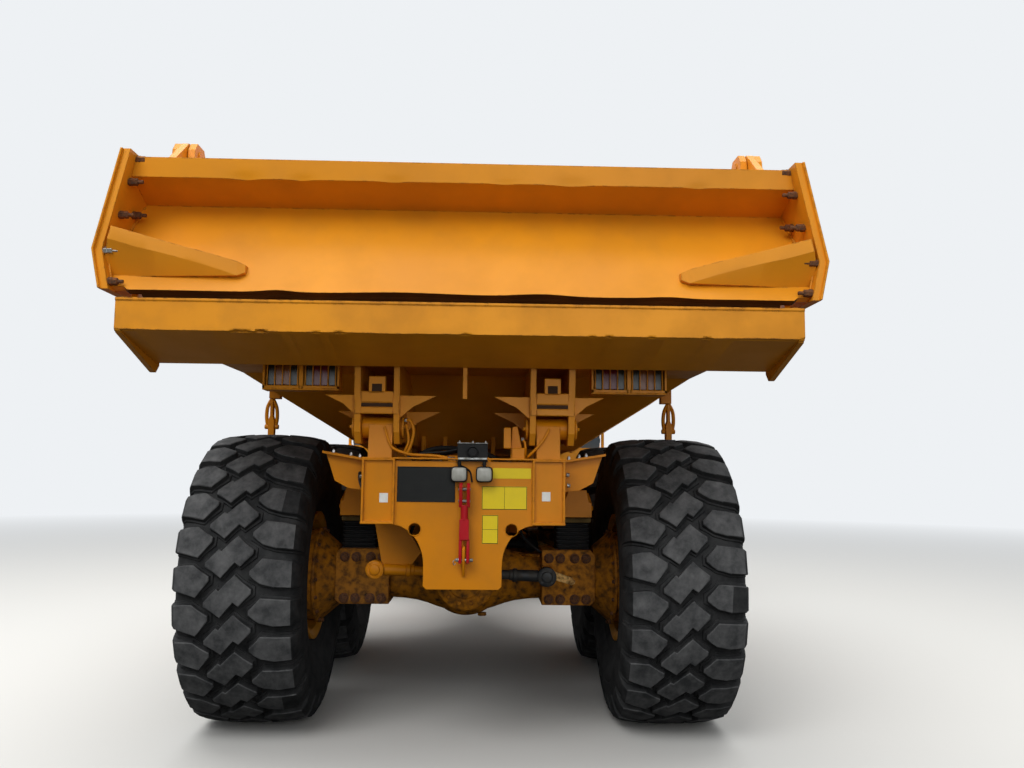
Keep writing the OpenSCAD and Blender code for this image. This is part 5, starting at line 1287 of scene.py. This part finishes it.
# the panel with its hood and dials, the box beside the seat, and the steering wheel
PANEL_SIDE = [(6.72, 2.26), (6.70, 2.52), (6.78, 2.64), (6.90, 2.66), (7.01, 2.60), (7.01, 2.26)]
DIAL_HOOD = [(6.735, 2.545), (6.79, 2.635), (6.87, 2.655), (6.80, 2.70), (6.75, 2.66), (6.715, 2.57)]
WHEEL_R, WHEEL_GRIP_R = 0.195, 0.014
console = Shape()
console.plate(PANEL_SIDE, -0.70, 0.70, "y", 0.012)
console.plate(DIAL_HOOD, -0.25, 0.25, "y", 0.008)
console.block((6.55, -0.62, 1.82), (6.95, -0.34, 2.28), 0.015)
for y in (-0.12, 0.0, 0.12):
    console.rod((6.756, y, 2.618), (6.750, y, 2.614), 0.048, 28, 0.002)
wheel_centre, tilt = Vector((6.590, 0.0, 2.580)), Vector((-0.7071, 0, 0.7071))


def on_wheel(a):
    """The way from the steering wheel's middle outward at an angle."""
    return Vector((0, 1, 0)) * cos(a) + Vector((0.7071, 0, 0.7071)) * sin(a)


rings = []
for i in range(48):
    out = on_wheel(tau * i / 48)
    rings.append([wheel_centre + out * (WHEEL_R + WHEEL_GRIP_R * cos(tau * k / 10))
                  + tilt * (WHEEL_GRIP_R * sin(tau * k / 10)) for k in range(10)])
console.rings(rings + rings[:1], caps=False)
for a in (0.5, pi - 0.5, 1.5 * pi):
    console.rod(wheel_centre - tilt * 0.02, wheel_centre + on_wheel(a) * 0.190, 0.011, 10)
console.rod(wheel_centre - tilt * 0.30, wheel_centre + tilt * 0.005, 0.036, 20, 0.006)
# pedals, levers and the lever's box
console.plate([(6.60, 1.82), (6.76, 1.82), (6.88, 2.26), (6.74, 2.30)], -0.06, 0.06, "y", 0.006)
for y in (0.12, 0.26):
    console.plate([(6.72, 1.835), (6.74, 1.820), (6.86, 1.950), (6.845, 1.965)], y, y + 0.08, "y", 0.003)
for x in (6.10, 6.02):
    console.rod((x, -0.40, 2.30), (x + 0.01, -0.40, 2.42), 0.010, 10)
    console.rod((x + 0.01, -0.40, 2.41), (x + 0.012, -0.40, 2.46), 0.018, 14, 0.006)
console.block((5.86, -0.46, 1.815), (6.20, -0.34, 2.31), 0.012)
made = console.piece("cab_dash_and_wheel", BLACK_PLASTIC, "front_frame", "black_plastic")
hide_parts("cab_console")

MIRROR_Z = 2.925
mirror_cases, mirror_panes = Shape(), Shape()
for side in (1, -1):
    mirror_cases.tube([(6.91, side * 0.832, 3.02), (6.912, side * 0.95, 3.035), (6.912, side * 1.12, 3.035),
                       (6.912, side * 1.25, 3.02)], 0.015, 12)
    mirror_cases.tube([(6.91, side * 0.832, 2.86), (6.912, side * 0.95, 2.865), (6.912, side * 1.12, 2.90),
                       (6.912, side * 1.20, 2.96)], 0.012, 12)
    mirror_cases.plate([(side * 0.832 - 0.02, 2.80), (side * 0.832 + 0.02, 2.80), (side * 0.832 + 0.02, 3.08),
                        (side * 0.832 - 0.02, 3.08)], 6.88, 6.945, "x", 0.004)
    y = side * 1.315
    rings = []
    for x, grow in ((6.887, 1.0), (6.905, 1.0), (6.925, 0.95), (6.938, 0.78)):
        rings.append([(x, y + u, MIRROR_Z + v) for u, v in
                      rounded(-0.120 * grow, 0.120 * grow, -0.222 * grow, 0.222 * grow, 0.035 * grow, 5)])
    mirror_cases.rings(rings)
    for low, high in ((-0.075, 0.208), (-0.210, -0.090)):
        mirror_panes.plate([(y + u, MIRROR_Z + v) for u, v in rounded(-0.108, 0.108, low, high, 0.02)],
                           6.8855, 6.8875, "x", 0.0008)
made = mirror_cases.piece("mirror_cases", BLACK_PLASTIC, "front_frame", "black_plastic")
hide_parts("mirrors")
mirror_panes.piece("mirror_panes", MIRROR, "front_frame", "chrome_rod")


# Hood, grille and bumper

louvres, latches = Shape(), Shape()
for side in (1, -1):
    face = side * 0.760
    for x, top in [(7.75 + i * 0.085, 2.28) for i in range(9)] + [(8.75, 2.18), (8.86, 2.18)]:
        louvres.plate([(x, face), (x + 0.050, face), (x + 0.050, face + side * 0.010),
                       (x + 0.012, face + side * 0.014)], 1.98, top, "z", 0.003)
    for x, z in ((7.20, 1.62), (8.95, 1.62)):
        latches.rod((x, face - side * 0.002, z), (x, face + side * 0.008, z), 0.030, 24, 0.003)
        latches.block((x - 0.012, face + side * 0.006, z - 0.028),
                      (x + 0.012, face + side * 0.016, z + 0.028), 0.003)
    seam = [(7.125, 2.725), (7.62, 2.703), (9.14, 2.386), (9.335, 2.288)]
    louvres.tube([(x, side * 0.700, z + 0.001) for x, z in seam], 0.006, 8, 3)
louvres.block((7.125, -0.74, 2.718), (7.140, 0.74, 2.726), 0.002)
louvres.piece("hood_louvres_and_beads", CAB_ENAMEL, "hood", "cab_paint")
latches.piece("hood_latches", BLACK_PLASTIC, "hood", "black_plastic")

mesh_bars = Shape()
for i in range(9):
    z = 1.640 + i * 0.046
    mesh_bars.plate([(9.383, z + 0.001), (9.405, z + 0.001), (9.4125, z + 0.006), (9.4125, z + 0.016),
                     (9.405, z + 0.021), (9.383, z + 0.021)], -0.519, 0.519, "y", 0.001)
for y in np.linspace(-0.50, 0.50, 26):
    mesh_bars.rod((9.3785, float(y), 1.625), (9.3785, float(y), 2.042), 0.003, 6)
mesh_bars.block((9.365, -0.519, 1.621), (9.3745, 0.519, 2.044), 0.002)
made = mesh_bars.piece("grille_slats", BLACK_PLASTIC, "hood", "black_plastic")
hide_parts("grille")

LAMP_RIM = [(0.066, 0.0), (0.071, 0.002), (0.071, 0.026), (0.068, 0.030), (0.062, 0.026), (0.058, 0.004)]
LAMP_PANE = [(0.060, 0.002), (0.062, 0.018), (0.056, 0.025), (0.036, 0.030), (0.001, 0.032)]
rims, head_panes, turn_panes = Shape(), Shape(), Shape()
for side in (1, -1):
    for y in (0.865, 1.015):
        rims.turned((9.415, side * y, 1.060), LAMP_RIM, 36, "x", 1, hollow=True)
        head_panes.turned((9.415, side * y, 1.060), LAMP_PANE, 36, "x", 1)
    turn_panes.block((9.420, side * 1.095, 0.998), (9.444, side * 1.143, 1.122), 0.006)
    rims.block((9.4155, side * 0.782, 0.982), (9.4185, side * 1.148, 1.138), 0.001)
made = rims.piece("head_lamp_housings", BLACK_PLASTIC, "front_frame", "black_plastic")
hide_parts("head_lamps")
head_panes.piece("head_lamp_lenses", CLEAR_LENS, "front_frame", "head_lens")
turn_panes.piece("turn_lamp_lenses", AMBER_LENS, "front_frame", "lamp_lens")

bumper_bolts, bumper_trim = Shape(), Shape()
for y in (-1.22, 1.22):
    for z in (0.86, 1.165):
        bumper_bolts.bolt((9.455, y, z), (1, 0, 0), 0.030, 0.014, washer=False)
for y in (-0.25, 0.25):
    bumper_bolts.rod((9.472, y, 0.93), (9.4745, y, 0.93), 0.060, 32, 0.001)
bumper_trim.block((9.445, -0.62, 1.188), (9.470, 0.62, 1.196), 0.002)
for i in range(22):
    y = -0.58 + i * 0.0552
    bumper_trim.block((9.20, y, 1.189), (9.44, y + 0.024, 1.193), 0.001)
bumper_bolts.piece("bumper_bolts", RUSTY_BOLT, "front_frame", "dark_steel")
bumper_trim.piece("bumper_tread_strips", DARK_STEEL, "front_frame", "dark_steel")


# Fenders, steps and rails

def tread(shape, x0, x1, y0, y1, z):
    """Grip strips across a step."""
    count = int((x1 - x0) / 0.045)
    for i in range(count):
        x = x0 + 0.02 + i * (x1 - x0 - 0.04) / max(1, count - 1)
        shape.plate([(x - 0.009, z - 0.001), (x + 0.009, z - 0.001), (x + 0.004, z + 0.006),
                     (x - 0.004, z + 0.006)], min(y0, y1) + 0.012, max(y0, y1) - 0.012, "y", 0.001)


grips, flaps, edges, marks = Shape(), Shape(), Shape(), Shape()
feet, doors, latches = Shape(), Shape(), Shape()
for side in (1, -1):
    for z in (0.60, 0.90, 1.20):
        tread(grips, 7.70, 8.18, side * 1.19, side * 1.55, z)
    tread(grips, 7.66, 8.47, side * 0.80, side * 1.58, 1.29)
    tread(grips, 5.95, 7.35, side * 1.24, side * 1.66, 1.96)
    edges.tube([(5.402, side * 1.694, 1.955), (6.4, side * 1.697, 1.957), (7.388, side * 1.694, 1.956)],
               0.007, 8, 2)
    flaps.plate([(side * 1.05, 0.92), (side * 1.66, 0.92), (side * 1.67, 0.94), (side * 1.67, 1.70),
                 (side * 1.05, 1.70)], 5.405, 5.415, "x", 0.002)
    for y in (1.12, 1.35, 1.60):
        feet.bolt((5.405, side * y, 1.66), (-1, 0, 0), 0.024, 0.005, washer=False)
    marks.rings([[(7.55 + u, side * (1.699 + d), 1.52 + v) for u, v in
                  rounded(-0.055 * g, 0.055 * g, -0.022 * g, 0.022 * g, 0.012 * g)]
                 for d, g in ((-0.001, 1.0), (0.012, 0.96), (0.016, 0.8))])
    for x, y, z in ((5.46, 1.65, 1.96), (5.89, 1.65, 1.96), (7.71, 1.56, 1.29), (8.11, 1.56, 1.29)):
        feet.rod((x, side * y, z), (x, side * y, z + 0.008), 0.038, 24, 0.002)
        for a in (0.8, 0.8 + pi):
            feet.bolt((x + 0.028 * cos(a), side * (y + 0.028 * sin(a)), z + 0.008), (0, 0, 1), 0.010, 0.006,
                      washer=False)
    front = side * 1.600
    doors.plate([(5.445, 1.985), (5.895, 1.985), (5.895, 2.425), (5.445, 2.425)], front - side * 0.002,
                front + side * 0.008, "y", 0.004)
    for i in range(5):
        z = 2.06 + i * 0.028
        doors.plate([(5.50, z), (5.84, z), (5.84, z + 0.012), (5.50, z + 0.012)], front + side * 0.007,
                    front + side * 0.012, "y", 0.002)
    latches.rod((5.84, front + side * 0.006, 2.28), (5.84, front + side * 0.016, 2.28), 0.022, 20, 0.003)
    latches.block((5.833, front + side * 0.014, 2.262), (5.847, front + side * 0.022, 2.300), 0.002)
    for z in (2.06, 2.36):
        latches.rod((5.437, front + side * 0.008, z - 0.03), (5.437, front + side * 0.008, z + 0.03),
                    0.008, 12, 0.001)
grips.piece("step_grip_strips", DARK_STEEL, "front_frame", "dark_steel")
flaps.piece("mud_flaps", SPRING_RUBBER, "front_frame", "spring_rubber")
edges.piece("fender_edge_beads", CAB_ENAMEL, "front_frame", "cab_paint")
marks.piece("side_marker_lenses", AMBER_LENS, "front_frame", "lamp_lens")
feet.piece("handrail_feet_and_bolts", CAB_ENAMEL, "front_frame", "cab_paint")
doors.piece("side_box_doors", SLATE_PANEL, "front_frame", "slate_panel")
latches.piece("side_box_latches", BLACK_PLASTIC, "front_frame", "black_plastic")

EXHAUST_X, EXHAUST_Y = 5.59, -1.0
clamps, shield = Shape(), Shape()
for z in (2.50, 2.90, 3.24):
    clamps.turned((EXHAUST_X, EXHAUST_Y, z), [(0.094, 0.0), (0.099, 0.002), (0.099, 0.026), (0.094, 0.028)],
                  40, "z", 1, hollow=True)
    clamps.bolt((EXHAUST_X - 0.104, EXHAUST_Y, z + 0.014), (-1, 0, 0), 0.016, 0.010)
clamps.turned((EXHAUST_X, EXHAUST_Y, 3.30), [(0.058, 0.0), (0.066, 0.001), (0.066, 0.030), (0.058, 0.032)],
              32, "z", 1, hollow=True)
for i in range(18):
    a = radians(95 + i * 10)
    for k in range(9):
        z = 2.56 + k * 0.075
        at = Vector((EXHAUST_X + 0.0985 * cos(a), EXHAUST_Y + 0.0985 * sin(a), z))
        shield.rod(at, at + Vector((0, 0, 0.045)), 0.004, 6, 0.001)
clamps.piece("exhaust_clamps", GALVANISED, "front_frame", "dark_steel")
shield.piece("exhaust_shield_slots", DARK_STEEL, "front_frame", "dark_steel")

# the front springs' rubber bellows, of four folds between two plates
outline = [(0.001, 1.120), (0.085, 1.120), (0.085, 1.134)]
for i in range(4):
    z = 1.140 + i * 0.037
    outline += [(0.062, z), (0.074, z + 0.009), (0.078, z + 0.018), (0.074, z + 0.027), (0.062, z + 0.036)]
outline += [(0.082, 1.292), (0.082, 1.302), (0.001, 1.302)]
struts = Shape()
for side in (1, -1):
    struts.turned((FRONT_AXLE, side * 0.620, 0.0), outline, 36, "z")
made = struts.piece("front_spring_bellows", SPRING_RUBBER, "front_frame", "spring_rubber")
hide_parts("front_springs")
for side, hand in ((1, "left"), (-1, "right")):
    free_hose("brake_hose_front_" + hand,
              [(FRONT_AXLE - 0.30, side * 0.335, 1.32), (FRONT_AXLE - 0.28, side * 0.32, 1.24),
               (FRONT_AXLE - 0.25, side * 0.36, 1.16), (FRONT_AXLE - 0.21, side * 0.44, 1.115),
               (FRONT_AXLE - 0.15, side * 0.51, 1.10)], 0.020, "front_frame")

# the engine's rocker covers, its ports and pipes, and the pulley in front
block_parts = Shape()
for i in range(6):
    x = 7.55 + i * 0.20
    for side in (1, -1):
        block_parts.block((x, side * 0.20, 2.150), (x + 0.15, side * 0.315, 2.190), 0.008)
        block_parts.rod((x + 0.075, side * 0.335, 1.98), (x + 0.075, side * 0.42, 1.95), 0.032, 16, 0.004)
for side in (1, -1):
    block_parts.tube([(7.50, side * 0.43, 1.95), (8.0, side * 0.435, 1.95), (8.62, side * 0.43, 1.95)],
                     0.045, 16, 3)
PULLEY = [(0.05, 0.0), (0.12, 0.002), (0.12, 0.04), (0.05, 0.045), (0.001, 0.045)]
block_parts.turned((8.70, 0.0, 1.78), PULLEY, 32, "x", 1)
block_parts.piece("engine_covers_and_pipes", DARK_STEEL, "front_frame", "dark_steel")


# Floor, light and camera

floor_material = bpy.data.materials.new("studio_floor")
floor_material.use_nodes = True
tree = floor_material.node_tree
tree.nodes.clear()
path = node(tree, "ShaderNodeLightPath")
seen = maths(tree, "ADD", path.outputs["Is Camera Ray"], path.outputs["Is Transmission Ray"])
floor_colour = mixed(tree, seen, linear("#4E4E4C"), linear("#D9D8D4"))
ground = node(tree, "ShaderNodeBsdfDiffuse", {"Color": floor_colour})
place = node(tree, "ShaderNodeNewGeometry").outputs["Position"]
away = node(tree, "ShaderNodeVectorMath", {0: place}, operation="LENGTH").outputs["Value"]
fade = node(tree, "ShaderNodeMapRange", {"Value": away, "From Min": 6.0, "From Max": 26.0}).outputs["Result"]
haze = node(tree, "ShaderNodeEmission", {"Color": linear("#EEF1F4"), "Strength": 1.0})
blend = node(tree, "ShaderNodeMixShader", {0: maths(tree, "MULTIPLY", fade, seen)})
tree.links.new(ground.outputs[0], blend.inputs[1])
tree.links.new(haze.outputs[0], blend.inputs[2])
tree.links.new(blend.outputs[0], node(tree, "ShaderNodeOutputMaterial").inputs["Surface"])
floor_mesh = bpy.data.meshes.new("studio_floor")
reach = 90.0
floor_mesh.from_pydata([(-reach, -reach, 0), (reach, -reach, 0), (reach, reach, 0), (-reach, reach, 0)], [],
                       [(0, 1, 2, 3)])
floor_mesh.materials.append(floor_material)
floor = bpy.data.objects.new("studio_floor", floor_mesh)
bpy.context.scene.collection.objects.link(floor)
floor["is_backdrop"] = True

world = bpy.data.worlds.new("studio")
bpy.context.scene.world = world
world.use_nodes = True
tree = world.node_tree
path = node(tree, "ShaderNodeLightPath")
seen = maths(tree, "ADD", maths(tree, "ADD", path.outputs["Is Camera Ray"], path.outputs["Is Glossy Ray"]),
             path.outputs["Is Transmission Ray"])
sky = tree.nodes["Background"]
sky.inputs["Color"].default_value = linear("#EEF1F4")
strength = node(tree, "ShaderNodeMapRange", {"Value": seen, "To Min": 0.43, "To Max": 1.0})
tree.links.new(strength.outputs["Result"], sky.inputs["Strength"])


def soft_lamp(name, place, target, size, power):
    """A square softbox turned to a target."""
    lamp = bpy.data.lights.new(name, "AREA")
    lamp.shape, lamp.size, lamp.energy = "SQUARE", size, power
    made = bpy.data.objects.new(name, lamp)
    made.location = place
    made.rotation_euler = (Vector(target) - Vector(place)).to_track_quat("-Z", "Y").to_euler()
    bpy.context.scene.collection.objects.link(made)


soft_lamp("overhead_softbox", (-2.0, 1.0, 16.0), (-1.0, 0.0, 0.0), 18.0, 3000)
soft_lamp("low_softbox", (-15.0, -2.5, 3.6), (-4.0, 0.0, 1.2), 6.0, 250)
soft_lamp("rear_softbox", (-15.5, 5.0, 12.0), (-4.0, 0.0, 1.6), 8.0, 1270)

# The camera stands where the photograph was taken from, with the lens that its perspective gives.
PHOTO_PLACE = (REAR_AXLE - 6.0656, -0.1221, 1.6306)
YAW, PITCH, ROLL = -0.0286, 0.1005, 0.0112
camera_data = bpy.data.cameras.new("photo_camera")
camera_data.sensor_width = 36.0
camera_data.lens = 30.88
camera_data.clip_start, camera_data.clip_end = 0.05, 400.0
camera = bpy.data.objects.new("photo_camera", camera_data)
forward = Vector((cos(PITCH) * cos(YAW), cos(PITCH) * sin(YAW), sin(PITCH)))
level = Vector((sin(YAW), -cos(YAW), 0.0))
upright = level.cross(forward)
right = level * cos(ROLL) + upright * sin(ROLL)
up = upright * cos(ROLL) - level * sin(ROLL)
turned = Matrix((right, up, -forward)).transposed().to_4x4()
camera.matrix_world = Matrix.Translation(PHOTO_PLACE) @ turned
bpy.context.scene.collection.objects.link(camera)
bpy.context.scene.camera = camera
bpy.context.scene.view_settings.view_transform = "Standard"

low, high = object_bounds()
